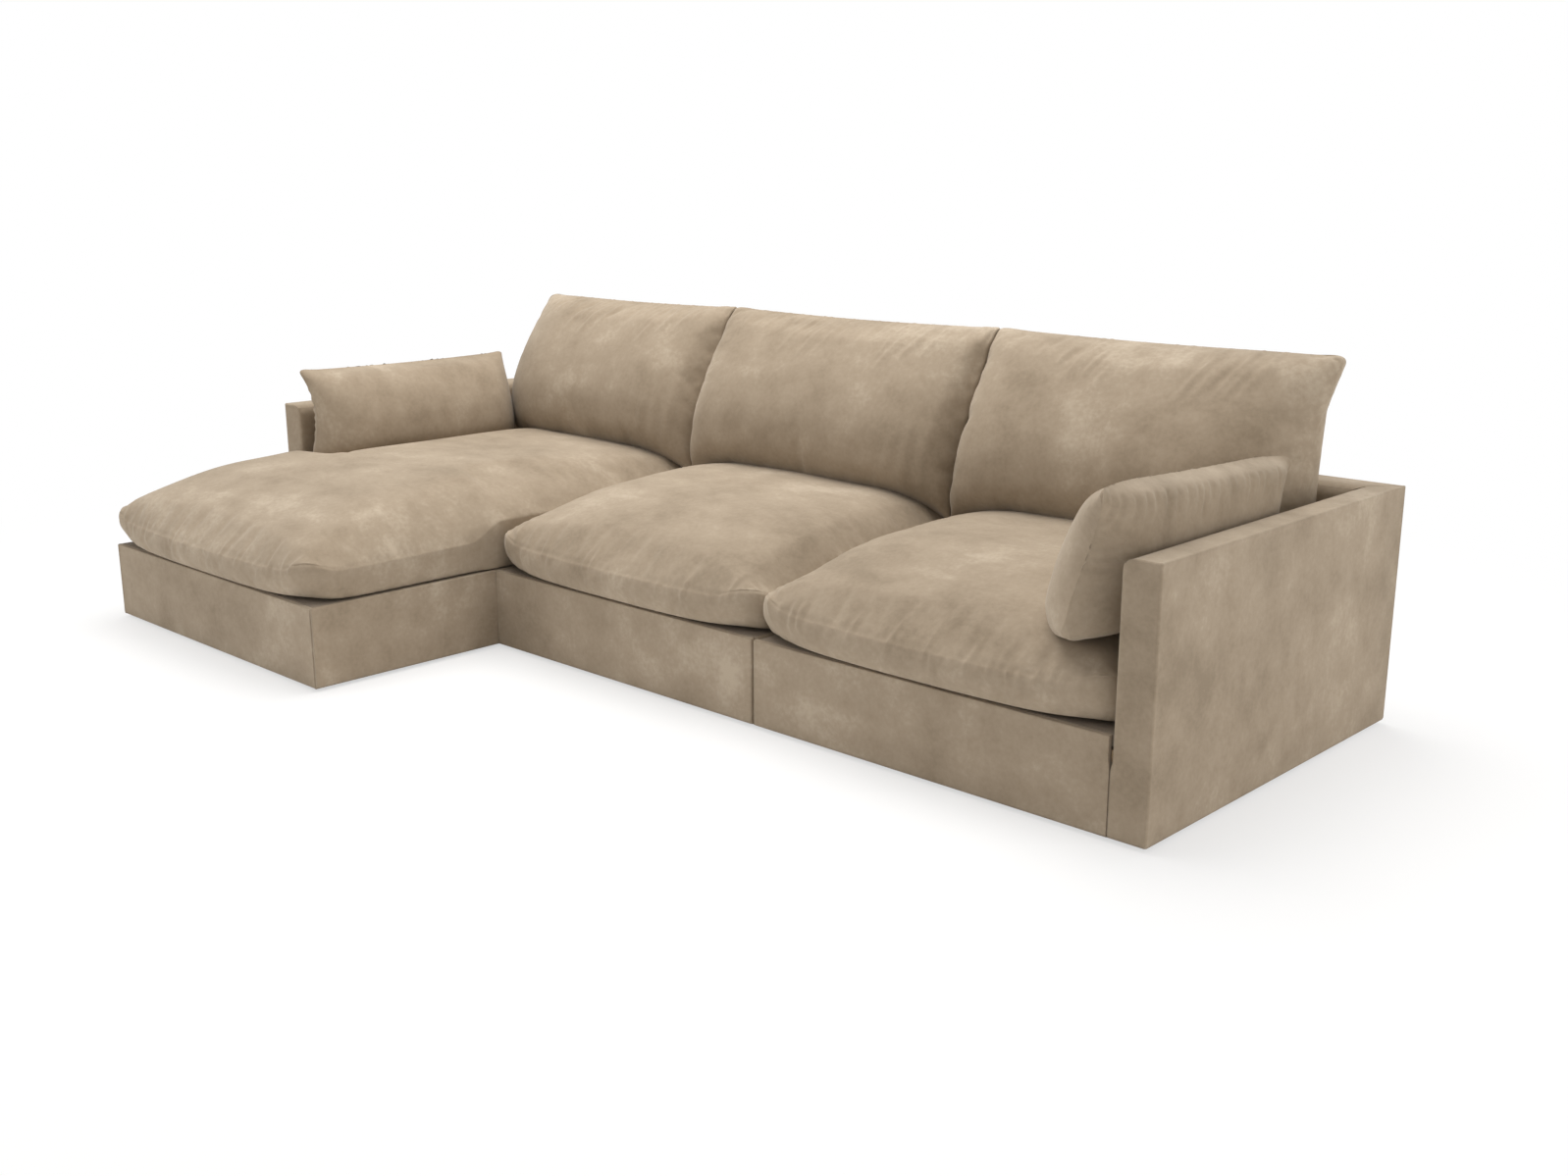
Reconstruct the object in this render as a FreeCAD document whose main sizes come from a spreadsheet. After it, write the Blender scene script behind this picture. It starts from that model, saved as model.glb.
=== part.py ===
import FreeCAD, Part
import math
import os
import Sketcher

# Sectional sofa in three upholstered modules: a chaise with a left arm, an armless
# middle seat and an end seat with a right arm. Loose cushions lie on and lean against them.
#
# Frame of the whole: origin on the floor under the middle of the outline, +X to the right
# as one faces the sofa (towards the arm of the end seat), -Y to the front, +Z up.
# Each module is drawn in its own frame: x from its left side, y from its back face
# (negative to the front), z from the underside of its base.

doc = FreeCAD.newDocument("sectional_sofa")
V = FreeCAD.Vector

# Driving dimensions, in mm

DIMENSIONS = (
    ("chaise_width", 1070, "left module, outer face of its arm to the joint"),
    ("middle_width", 990, "armless module"),
    ("end_width", 1070, "right module, joint to the outer face of its arm"),
    ("module_depth", 1070, "back face to front of the middle and end modules"),
    ("chaise_depth", 1640, "back face to front of the chaise"),
    ("base_height", 214, "underside of the base to the top of its deck"),
    ("wall_height", 572, "underside of the base to the top of arms and backs"),
    ("wall_thickness", 92, "arms and backs, over their padding"),
    ("outer_padding", 20, "padding and fabric on outer faces"),
    ("inner_padding", 25, "padding and fabric on inner faces"),
    ("front_panel_thickness", 15, "padded board on the front of a base"),
    ("side_panel_thickness", 10, "padded board on the side of a base"),
    ("cushion_overhang", 25, "seat cushions past the front, and past the left side of the chaise"),
    ("glide_height", 8, "floor to the underside of the base"),
    ("glide_width", 40, "square glides, where they meet the base"),
    ("glide_inset", 45, "glide centre from the sides of a module"),
    ("glide_taper", 20, "degrees, sides of a glide towards the floor"),
    ("inner_round", 35, "inner top edge of arms and backs"),
    ("seam_round", 5, "seamed outer edges"),
    ("joint_round", 8, "top and vertical edges of the front panels"),
    ("slit_depth", 70, "slit between the arm front and the front panel, down from the deck"),
    ("slit_width", 4, "the same slit"),
    ("rail_thickness", 25, "base rails"),
    ("rail_top", 180, "underside of the base to the top of the rails"),
    ("stretcher_height", 62, "low cross rails under the webbing"),
    ("frame_board", 60, "width of posts and top rails in arms and backs"),
    ("foot_board", 100, "height of the bottom rail in arms and backs"),
    ("block_leg", 80, "glued corner blocks, along each rail"),
    ("block_height", 110, "glued corner blocks"),
    ("dust_thickness", 2, "cloth under the base"),
    ("belt_width", 80, "elastic belts of the webbing"),
    ("belt_thickness", 3, "elastic belts of the webbing"),
    ("belt_pitch", 175, "closest spacing of the belts, which are spread evenly"),
    ("belt_gap", 0.6, "between belts where they cross"),
    ("deck_thickness", 27, "padded deck over the webbing"),
    ("bolt_radius", 4, "bolts that hold arms and backs to the base"),
    ("bolt_length", 66, "under the head"),
    ("bolt_clearance", 0.3, "radial clearance of the bolt holes"),
    ("bolt_head", 8, "radius over the corners of a bolt head"),
    ("bolt_head_height", 5.5, "bolt head"),
    ("bolt_level", 55, "bolt axis above the underside of the base"),
    ("plate_thickness", 1.5, "steel connector plates"),
    ("plate_width", 50, "connector plates along the joint"),
    ("plate_length", 60, "connector plates from the joint to their inner end"),
    ("hook_reach", 22, "hook lip past the joint"),
    ("plate_spacing", 600, "front connector to rear connector"),
    ("plate_back", 250, "rear connector from the back face"),
    ("cushion_gap", 1, "each side of the line between neighbouring cushions"),
    ("boxing_height", 80, "front boxing of a seat cushion"),
    ("seat_shoulder", 345, "seat cushion front to where its crown levels out"),
    ("core_inset", 70, "foam core from the sides of its cushion"),
    ("core_height", 76, "foam core"),
    ("back_cushion_inset", 18, "outer end of a back cushion from the arm"),
)

sizes = doc.addObject("Spreadsheet::Sheet", "Sizes")
for row, (alias, value, note) in enumerate(DIMENSIONS, 1):
    sizes.set("A%d" % row, note)
    sizes.set("B%d" % row, str(value))
    sizes.setAlias("B%d" % row, alias)
doc.recompute()


def size(alias):
    """One driving dimension, for shapes that are worked out in code."""
    return float(sizes.get(alias))


# Where the modules stand

LEFT_FACE = "(Sizes.cushion_overhang - Sizes.chaise_width - Sizes.middle_width - Sizes.end_width) / 2"
BACK_FACE = "(Sizes.chaise_depth + Sizes.cushion_overhang) / 2"
MODULES = {
    "chaise": {
        "left": LEFT_FACE,
        "width": "Sizes.chaise_width",
        "depth": "Sizes.chaise_depth",
    },
    "middle": {
        "left": LEFT_FACE + " + Sizes.chaise_width",
        "width": "Sizes.middle_width",
        "depth": "Sizes.module_depth",
    },
    "end": {
        "left": LEFT_FACE + " + Sizes.chaise_width + Sizes.middle_width",
        "width": "Sizes.end_width",
        "depth": "Sizes.module_depth",
    },
}
WALL = "Sizes.wall_thickness"
OUTER = "Sizes.outer_padding"
SIDE = "Sizes.side_panel_thickness"
RAIL = "Sizes.rail_thickness"
INNER_FACE = "(Sizes.wall_thickness - Sizes.inner_padding)"
ARM_FRONT = "(Sizes.module_depth - Sizes.outer_padding)"

nodes = []


def place(item, module):
    """Puts an item drawn in a module's frame where that module stands."""
    item.setExpression(".Placement.Base.x", MODULES[module]["left"])
    item.setExpression(".Placement.Base.y", BACK_FACE)
    item.setExpression(".Placement.Base.z", "Sizes.glide_height")


def finish_node(item, label, module):
    item.Label = label
    place(item, module)
    nodes.append(item)
    return item


# Drawing helpers


def number(expression):
    return float(sizes.evalExpression(expression))


def origin_part(body, role):
    return [part for part in body.Origin.OriginFeatures if part.Role == role][0]


def new_sketch(body, name, plane="XY_Plane", lift="0"):
    """An empty sketch on an origin plane, moved along that plane's normal."""
    sketch = body.newObject("Sketcher::SketchObject", name)
    sketch.AttachmentSupport = [(origin_part(body, plane), "")]
    sketch.MapMode = "FlatFace"
    sketch.setExpression(".AttachmentOffset.Base.z", lift)
    return sketch


def draw_outline(sketch, corners):
    """Closed outline of straight lines, each corner held to two expressions."""
    first = sketch.GeometryCount
    count = len(corners)
    points = [V(number(x), number(y), 0) for x, y in corners]
    for i in range(count):
        sketch.addGeometry(Part.LineSegment(points[i], points[(i + 1) % count]), False)
    for i in range(count):
        following = first + (i + 1) % count
        sketch.addConstraint(Sketcher.Constraint("Coincident", first + i, 2, following, 1))
    for i, (x, y) in enumerate(corners):
        for kind, text, value in (("DistanceX", x, points[i].x), ("DistanceY", y, points[i].y)):
            rule = sketch.addConstraint(Sketcher.Constraint(kind, -1, 1, first + i, 1, value))
            sketch.setExpression("Constraints[%d]" % rule, text)


def rectangle(x0, x1, y0, y1):
    return ((x0, y0), (x1, y0), (x1, y1), (x0, y1))


def pad(body, sketch, length):
    feature = body.newObject("PartDesign::Pad", sketch.Name + "_pad")
    feature.Profile = sketch
    feature.setExpression("Length", length)
    doc.recompute()
    return feature


def pocket_up(body, sketch, length):
    """Cuts upwards from a sketch on the underside, and checks that it did cut."""
    before = body.Shape.Volume
    feature = body.newObject("PartDesign::Pocket", sketch.Name + "_pocket")
    feature.Profile = sketch
    feature.Reversed = True
    feature.setExpression("Length", length)
    doc.recompute()
    if feature.Shape.Volume > before - 1:
        raise RuntimeError(sketch.Name + " cuts nothing")
    return feature


def round_edges(body, base, radius, wanted):
    """Fillets the straight edges that pass the test."""
    names = []
    for count, edge in enumerate(base.Shape.Edges, 1):
        if len(edge.Vertexes) == 2 and wanted(edge):
            names.append("Edge%d" % count)
    if not names:
        raise RuntimeError("no edge to round on " + body.Name)
    feature = body.newObject("PartDesign::Fillet", body.Name + "_round")
    feature.Base = (base, names)
    feature.setExpression("Radius", radius)
    doc.recompute()
    return feature


def lies(edge, **held):
    """True where both ends of an edge have the given coordinates."""
    ends = [vertex.Point for vertex in edge.Vertexes]
    return all(near(getattr(p, axis), value) for p in ends for axis, value in held.items())


def near(a, b):
    return abs(a - b) < 0.01


def board(name, low, high):
    """A straight timber, from its lowest corner to its highest."""
    box = doc.addObject("Part::Box", name)
    for side, start, stop in zip(("Length", "Width", "Height"), low, high):
        box.setExpression(side, "(%s) - (%s)" % (stop, start))
    for axis, start in zip("xyz", low):
        box.setExpression(".Placement.Base." + axis, start)
    return box


def group(name, items):
    compound = doc.addObject("Part::Compound", name)
    compound.Links = items
    return compound


# Base of a module: rails, corner blocks, panels, deck, dust cover and glides


def panel_back(module):
    """Rear face of the front panel, where the rails, deck and dust cover end."""
    return "(Sizes.front_panel_thickness - %s)" % MODULES[module]["depth"]


def rail_ends(module):
    """Left and right limits of the base rails, with room for the arm on its side."""
    width = MODULES[module]["width"]
    left = INNER_FACE if module == "chaise" else SIDE
    right = width + " - " + INNER_FACE if module == "end" else width + " - " + SIDE
    return left, right


def base_rails(module):
    width = MODULES[module]["width"]
    left, right = rail_ends(module)
    front = panel_back(module)
    front_left = SIDE if module == "chaise" else left
    front_right = width + " - " + WALL if module == "end" else right
    low = "Sizes.dust_thickness"
    top = "Sizes.rail_top"
    rear = "-" + WALL
    inner_left = left + " + " + RAIL
    inner_right = "%s - %s" % (right, RAIL)
    rails = [
        ("rear_rail", (left, rear, low), (right, "-" + INNER_FACE, top)),
        ("front_rail", (front_left, front, low), (front_right, front + " + " + RAIL, top)),
    ]
    side_front = front + " + " + RAIL
    if module == "end":
        rails.append(("right_rail", (inner_right, "-" + ARM_FRONT, low), (right, rear, top)))
    else:
        rails.append(("right_rail", (inner_right, side_front, low), (right, rear, top)))
    if module == "chaise":
        step = "-Sizes.module_depth"
        outer_left = "%s + %s" % (SIDE, RAIL)
        rails += [
            ("left_rail", (left, "-" + ARM_FRONT, low), (inner_left, rear, top)),
            ("left_front_rail", (SIDE, side_front, low), (outer_left, step, top)),
            ("step_rail", (outer_left, "%s - %s" % (step, RAIL), low), (inner_right, step, top)),
        ]
        stretchers = (
            (inner_left, "%s / 2" % step),
            (outer_left, "(%s + %s) / 2" % (front, step)),
        )
    else:
        rails.append(("left_rail", (left, side_front, low), (inner_left, rear, top)))
        stretchers = ((inner_left, "%s / 2" % front),)
    for count, (start, middle) in enumerate(stretchers):
        low_corner = (start, middle, low)
        high_corner = (inner_right, "%s + %s" % (middle, RAIL), "Sizes.stretcher_height")
        rails.append(("stretcher_%d" % count, low_corner, high_corner))
    boards = [board("%s_%s" % (module, name), start, stop) for name, start, stop in rails]
    return group(module + "_rails", boards)


def corner_blocks(module):
    """Triangular blocks glued where the base rails meet."""
    left, right = rail_ends(module)
    front = "%s + %s" % (panel_back(module), RAIL)
    inner_left = left + " + " + RAIL
    inner_right = "%s - %s" % (right, RAIL)
    rear = "-" + WALL
    corners = [(inner_left, rear, "+", "-"), (inner_right, rear, "-", "-"), (inner_right, front, "-", "+")]
    if module == "chaise":
        outer_left = "%s + %s" % (SIDE, RAIL)
        step = "-Sizes.module_depth - " + RAIL
        corners.append((outer_left, front, "+", "+"))
        corners.append((outer_left, step, "+", "-"))
        corners.append((inner_right, step, "-", "-"))
    else:
        corners.append((inner_left, front, "+", "+"))
    body = doc.addObject("PartDesign::Body", module + "_corner_blocks")
    sketch = new_sketch(body, module + "_block_sketch", lift="Sizes.stretcher_height")
    for x, y, way_x, way_y in corners:
        along_x = "%s %s Sizes.block_leg" % (x, way_x)
        along_y = "%s %s Sizes.block_leg" % (y, way_y)
        draw_outline(sketch, ((x, y), (along_x, y), (x, along_y)))
    pad(body, sketch, "Sizes.block_height")
    finish_node(body, module + "_corner_blocks", module)


def padded_panel(name, module, low, high, seen_edge=None):
    """Fabric-covered board standing on edge, with the edges that show eased."""
    body = doc.addObject("PartDesign::Body", name)
    sketch = new_sketch(body, name + "_sketch")
    draw_outline(sketch, rectangle(low[0], high[0], low[1], high[1]))
    last = pad(body, sketch, "Sizes.base_height")
    if seen_edge:
        round_edges(body, last, "Sizes.joint_round", seen_edge)
    return finish_node(body, name, module)


def front_panel(module):
    """Front of the base. Beside the arm of the end seat a slit runs down from the deck."""
    width = MODULES[module]["width"]
    depth = MODULES[module]["depth"]
    right = "%s - %s" % (width, WALL) if module == "end" else width
    low = ("0", "-" + depth)
    high = (right, panel_back(module))
    front = -number(depth)
    right_end = number(right)
    top = number("Sizes.base_height")
    joints = [0.0] if module == "end" else [0.0, right_end]

    def seen_edge(edge):
        return lies(edge, y=front, z=top) or any(lies(edge, x=x, y=front) for x in joints)

    panel = padded_panel(module + "_front_panel", module, low, high, seen_edge)
    if module == "end":
        sketch = new_sketch(panel, "slit_sketch", lift="Sizes.base_height - Sizes.slit_depth")
        slit_side = "%s - Sizes.slit_width" % right
        draw_outline(sketch, rectangle(slit_side, right, low[1], high[1]))
        pocket_up(panel, sketch, "Sizes.slit_depth")
    return panel


def side_panels(module):
    width = MODULES[module]["width"]
    front = panel_back(module)
    if module == "chaise":
        padded_panel("chaise_left_panel", module, ("0", front), (SIDE, "-Sizes.module_depth"))
    else:
        padded_panel(module + "_left_panel", module, ("0", front), (SIDE, "-" + WALL))
    if module != "end":
        low = ("%s - %s" % (width, SIDE), front)
        padded_panel(module + "_right_panel", module, low, (width, "-" + WALL))


def deck_outline(module):
    width = MODULES[module]["width"]
    front = panel_back(module)
    right = "%s - %s" % (width, WALL if module == "end" else SIDE)
    if module == "chaise":
        step = "-Sizes.module_depth"
        return ((WALL, "-" + WALL), (right, "-" + WALL), (right, front), (SIDE, front), (SIDE, step), (WALL, step))
    return rectangle(SIDE, right, front, "-" + WALL)


def deck_pad(module):
    body = doc.addObject("PartDesign::Body", module + "_deck_pad")
    sketch = new_sketch(body, module + "_deck_sketch", lift="Sizes.base_height - Sizes.deck_thickness")
    draw_outline(sketch, deck_outline(module))
    pad(body, sketch, "Sizes.deck_thickness")
    finish_node(body, module + "_deck_pad", module)


def dust_cover(module):
    """Cloth stapled under the rails, reaching under the arm and back frames too."""
    width = MODULES[module]["width"]
    front = panel_back(module)
    arm_end = "-" + ARM_FRONT
    rear = "-" + OUTER
    if module == "chaise":
        right = "%s - %s" % (width, SIDE)
        step = "-Sizes.module_depth"
        outline = (
            (OUTER, rear), (right, rear), (right, front), (SIDE, front),
            (SIDE, step), (WALL, step), (WALL, arm_end), (OUTER, arm_end),
        )
    elif module == "middle":
        outline = rectangle(SIDE, "%s - %s" % (width, SIDE), front, rear)
    else:
        inner = "%s - %s" % (width, WALL)
        outer = "%s - %s" % (width, OUTER)
        outline = ((SIDE, rear), (outer, rear), (outer, arm_end), (inner, arm_end), (inner, front), (SIDE, front))
    body = doc.addObject("PartDesign::Body", module + "_dust_cover")
    sketch = new_sketch(body, module + "_dust_sketch")
    draw_outline(sketch, outline)
    pad(body, sketch, "Sizes.dust_thickness")
    finish_node(body, module + "_dust_cover", module)


def glides(module):
    """Square plastic glides, tapered to the floor, one under each corner of the base."""
    width = MODULES[module]["width"]
    depth = MODULES[module]["depth"]
    rows = 3 if module == "chaise" else 2
    body = doc.addObject("PartDesign::Body", module + "_glides")
    sketch = new_sketch(body, module + "_glide_sketch")
    near_side = "Sizes.glide_inset - Sizes.glide_width / 2"
    far_side = "Sizes.glide_inset + Sizes.glide_width / 2"
    front = "-%s + " % depth
    draw_outline(sketch, rectangle(near_side, far_side, front + near_side, front + far_side))
    foot = pad(body, sketch, "Sizes.glide_height")
    foot.Reversed = True
    foot.setExpression("TaperAngle", "-Sizes.glide_taper")
    doc.recompute()
    pattern = body.newObject("PartDesign::MultiTransform", module + "_glide_pattern")
    pattern.Originals = [foot]
    steps = []
    for role, span, count in (
        ("X_Axis", "%s - 2 * Sizes.glide_inset" % width, 2),
        ("Y_Axis", "%s - 2 * Sizes.glide_inset" % depth, rows),
    ):
        step = body.newObject("PartDesign::LinearPattern", module + "_glides_" + role)
        step.Direction = (origin_part(body, role), [""])
        step.setExpression("Length", span)
        step.Occurrences = count
        steps.append(step)
    pattern.Transformations = steps
    body.Tip = pattern
    doc.recompute()
    finish_node(body, module + "_glides", module)


# Webbing: elastic belts, woven over and under each other across the rails


def belt_profile(start, stop, crossings, first_over, low):
    """Side view of one belt as (along, height) points, flat on the rails at both ends."""
    thick = size("belt_thickness")
    half = size("belt_width") / 2
    rise = thick + size("belt_gap")
    lower = [(start, low)]
    for i, middle in enumerate(crossings):
        over = (i % 2 == 0) == first_over
        height = low + size("belt_gap") / 2 + (rise if over else 0.0)
        lower += [(middle - half, height), (middle + half, height)]
    lower.append((stop, low))
    return lower + [(along, height + thick) for along, height in reversed(lower)]


def spread(start, stop):
    """Belt centre lines, evenly spaced between two rails."""
    count = int(abs(stop - start) // size("belt_pitch"))
    return [start + (stop - start) * (i + 0.5) / count for i in range(count)]


def webbing(module):
    width = number(MODULES[module]["width"])
    depth = number(MODULES[module]["depth"])
    left, right = (number(end) for end in rail_ends(module))
    rear = -number(INNER_FACE)
    front = -depth + size("front_panel_thickness")
    rail = size("rail_thickness")
    low = size("rail_top")
    half = size("belt_width") / 2
    if module == "chaise":
        step = -size("module_depth")
        along_x = spread(rear - rail, step + size("outer_padding")) + spread(step - rail, front + rail)
    else:
        along_x = spread(rear - rail, front + rail)
    along_y = spread(left + rail, right - rail)
    belts = []
    for i, y in enumerate(along_x):
        past_arm = module == "chaise" and y - half < -size("module_depth")
        start = size("side_panel_thickness") if past_arm else left
        profile = belt_profile(start, right, along_y, i % 2 == 0, low)
        face = Part.Face(Part.makePolygon([V(x, y - half, z) for x, z in profile + profile[:1]]))
        belts.append(face.extrude(V(0, 2 * half, 0)))
    for i, x in enumerate(along_y):
        profile = belt_profile(-rear, -front, [-y for y in along_x], i % 2 == 1, low)
        face = Part.Face(Part.makePolygon([V(x - half, -along, z) for along, z in profile + profile[:1]]))
        belts.append(face.extrude(V(2 * half, 0, 0)))
    feature = doc.addObject("Part::Feature", module + "_webbing")
    feature.Shape = Part.makeCompound(belts)
    finish_node(feature, module + "_webbing", module)


# Arms and backs: a padded cover over a timber frame, mitred where an arm meets the back


def wall_cover(name, module, outline, cavity, opening, inner_edge, outer_edge):
    """Hollow padded cover, open below, with its inner skin stopping at the deck."""
    body = doc.addObject("PartDesign::Body", name)
    sketch = new_sketch(body, name + "_outline")
    draw_outline(sketch, outline)
    pad(body, sketch, "Sizes.wall_height")
    sketch = new_sketch(body, name + "_cavity")
    draw_outline(sketch, cavity)
    pocket_up(body, sketch, "Sizes.wall_height - Sizes.inner_padding")
    sketch = new_sketch(body, name + "_opening")
    draw_outline(sketch, opening)
    last = pocket_up(body, sketch, "Sizes.base_height - Sizes.deck_thickness")
    last = round_edges(body, last, "Sizes.inner_round", inner_edge)
    round_edges(body, last, "Sizes.seam_round", outer_edge)
    finish_node(body, name, module)


def back_cover(module):
    """Mitred at its left end on the chaise and at its right end on the end seat."""
    width = MODULES[module]["width"]
    inner = "-" + INNER_FACE
    if module == "chaise":
        left_inner = (WALL, "-" + WALL)
        left_cavity = ((INNER_FACE, inner), (OUTER, "-" + OUTER))
        opening_left = INNER_FACE
    else:
        left_inner = ("0", "-" + WALL)
        left_cavity = ((SIDE, inner), (SIDE, "-" + OUTER))
        opening_left = SIDE
    if module == "end":
        right_inner = ("%s - %s" % (width, WALL), "-" + WALL)
        right_cavity = (("%s - %s" % (width, OUTER), "-" + OUTER), ("%s - %s" % (width, INNER_FACE), inner))
        opening_right = "%s - %s" % (width, INNER_FACE)
    else:
        right_inner = (width, "-" + WALL)
        side = "%s - %s" % (width, SIDE)
        right_cavity = ((side, "-" + OUTER), (side, inner))
        opening_right = side
    top = size("wall_height")
    wall = size("wall_thickness")
    wall_cover(
        module + "_back_cover",
        module,
        (("0", "0"), (width, "0"), right_inner, left_inner),
        left_cavity + right_cavity,
        rectangle(opening_left, opening_right, "-" + WALL, inner),
        lambda edge: lies(edge, z=top, y=-wall),
        lambda edge: lies(edge, z=top, y=0),
    )


def arm_cover(module):
    """The arm of the chaise, or its mirror image at the right of the end seat."""
    width = MODULES[module]["width"]
    front = "-Sizes.module_depth"

    def across(distance):
        return distance if module == "chaise" else "%s - %s" % (width, distance)

    outline = ((across("0"), "0"), (across(WALL), "-" + WALL), (across(WALL), front), (across("0"), front))
    cavity = (
        (across(OUTER), "-" + OUTER),
        (across(INNER_FACE), "-" + INNER_FACE),
        (across(INNER_FACE), "-" + ARM_FRONT),
        (across(OUTER), "-" + ARM_FRONT),
    )
    opening = rectangle(across(INNER_FACE), across(WALL), "-" + ARM_FRONT, "-" + INNER_FACE)
    top = size("wall_height")
    inner = number(across(WALL))
    outer = number(across("0"))
    wall_cover(
        module + "_arm_cover",
        module,
        outline,
        cavity,
        opening,
        lambda edge: lies(edge, z=top, x=inner),
        lambda edge: lies(edge, z=top, x=outer),
    )


def wall_frame(name, low, high, along):
    """Timber frame of a wall: a deep bottom rail, three posts and a top rail."""
    foot = "Sizes.foot_board"
    roof = "Sizes.wall_height - Sizes.inner_padding"
    under_roof = roof + " - Sizes.frame_board"
    boards = [
        board(name + "_bottom", (low[0], low[1], "Sizes.dust_thickness"), (high[0], high[1], foot)),
        board(name + "_top", (low[0], low[1], under_roof), (high[0], high[1], roof)),
    ]
    for count, share in enumerate((0, 0.5, 1)):
        span = "(%s) - (%s) - Sizes.frame_board" % (high[along], low[along])
        start = list(low)
        start[along] = "(%s) + %s * (%s)" % (low[along], share, span)
        stop = list(high)
        stop[along] = start[along] + " + Sizes.frame_board"
        post_low = (start[0], start[1], foot)
        post_high = (stop[0], stop[1], under_roof)
        boards.append(board("%s_post_%d" % (name, count), post_low, post_high))
    return group(name, boards)


# Bolts, put in from inside the base: through a base rail, into the bottom rail of a wall


TURNS = {
    "+x": FreeCAD.Rotation(V(0, 1, 0), 90),
    "-x": FreeCAD.Rotation(V(0, 1, 0), -90),
    "+y": FreeCAD.Rotation(V(1, 0, 0), -90),
    "-y": FreeCAD.Rotation(V(1, 0, 0), 90),
}
BACKWARDS = {"+x": "-x", "-x": "+x", "+y": "-y"}


def bolt_positions(module):
    """Where each bolt enters its base rail and the way it points: two in a back, one in an arm."""
    width = MODULES[module]["width"]
    left, right = rail_ends(module)
    places = [
        ("%s + 2 * Sizes.frame_board" % left, "-" + WALL, "+y"),
        ("%s - 2 * Sizes.frame_board" % right, "-" + WALL, "+y"),
    ]
    if module != "middle":
        x = WALL if module == "chaise" else "%s - %s" % (width, WALL)
        way = "-x" if module == "chaise" else "+x"
        places.append((x, "-0.6 * Sizes.module_depth", way))
    return places


def lie(item, x, y, way):
    """Lays an upright form along a bolt's axis, starting where the bolt enters."""
    item.Placement = FreeCAD.Placement(V(), TURNS[way])
    item.setExpression(".Placement.Base.x", x)
    item.setExpression(".Placement.Base.y", y)
    item.setExpression(".Placement.Base.z", "Sizes.bolt_level")


def rod(name, x, y, way, radius, length):
    cylinder = doc.addObject("Part::Cylinder", name)
    lie(cylinder, x, y, way)
    cylinder.setExpression("Radius", radius)
    cylinder.setExpression("Height", length)
    return cylinder


def drilled(base, label, module):
    """Boards with clearance holes for the bolts that pass through them."""
    rods = []
    for count, (x, y, way) in enumerate(bolt_positions(module)):
        name = "%s_hole_%d" % (label, count)
        rods.append(rod(name, x, y, way, "Sizes.bolt_radius + Sizes.bolt_clearance", "Sizes.bolt_length + 1"))
    cut = doc.addObject("Part::Cut", label)
    cut.Base = base
    cut.Tool = group(label + "_holes", rods)
    finish_node(cut, label, module)


def frame_bolts(module):
    bolts = []
    for count, (x, y, way) in enumerate(bolt_positions(module)):
        name = "%s_bolt_%d" % (module, count)
        head = doc.addObject("Part::Prism", name + "_head")
        head.Polygon = 6
        lie(head, x, y, BACKWARDS[way])
        head.setExpression("Circumradius", "Sizes.bolt_head")
        head.setExpression("Height", "Sizes.bolt_head_height")
        bolt = doc.addObject("Part::Fuse", name)
        bolt.Base = rod(name + "_shank", x, y, way, "Sizes.bolt_radius", "Sizes.bolt_length")
        bolt.Tool = head
        bolts.append(bolt)
    finish_node(group(module + "_frame_bolts", bolts), module + "_frame_bolts", module)


# Connectors under the joints: a hook lip on one module drops into a trough on the next


def connector(name, module, outline):
    body = doc.addObject("PartDesign::Body", name)
    far = "Sizes.plate_back + Sizes.plate_spacing"
    sketch = new_sketch(body, name + "_side_view", plane="XZ_Plane", lift=far)
    draw_outline(sketch, outline)
    plate = pad(body, sketch, "Sizes.plate_width")
    pair = body.newObject("PartDesign::LinearPattern", name + "_pair")
    pair.Originals = [plate]
    pair.Direction = (origin_part(body, "Y_Axis"), [""])
    pair.setExpression("Length", "Sizes.plate_spacing")
    pair.Occurrences = 2
    body.Tip = pair
    doc.recompute()
    finish_node(body, name, module)


def hook_plates(module):
    joint = MODULES[module]["width"]
    thick = "Sizes.plate_thickness"
    lip = "-%s - 2" % thick
    tip = "%s + Sizes.hook_reach" % joint
    inner = "%s - Sizes.plate_length" % joint
    lip_side = "%s - %s" % (tip, thick)
    outline = ((inner, "0"), (tip, "0"), (tip, lip), (lip_side, lip), (lip_side, "-" + thick), (inner, "-" + thick))
    connector(module + "_hook_plates", module, outline)


def socket_plates(module):
    thick = "Sizes.plate_thickness"
    floor = "-%s - 2.5" % thick
    under = "%s - %s" % (floor, thick)
    outline = (
        ("Sizes.plate_length", "0"),
        ("Sizes.hook_reach + 10", "0"),
        ("Sizes.hook_reach + 10", floor),
        ("8 + " + thick, floor),
        ("8 + " + thick, floor + " + 2"),
        ("8", floor + " + 2"),
        ("8", under),
        ("Sizes.hook_reach + 10 + " + thick, under),
        ("Sizes.hook_reach + 10 + " + thick, "-" + thick),
        ("Sizes.plate_length", "-" + thick),
    )
    connector(module + "_socket_plates", module, outline)


# Cushions: each is a run of sections that swell from thin ends to a full middle

CORE_LEVEL = "Sizes.base_height + 20"
STATIONS = (0, 0.04, 0.14, 0.35, 0.65, 0.86, 0.96, 1)


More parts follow.
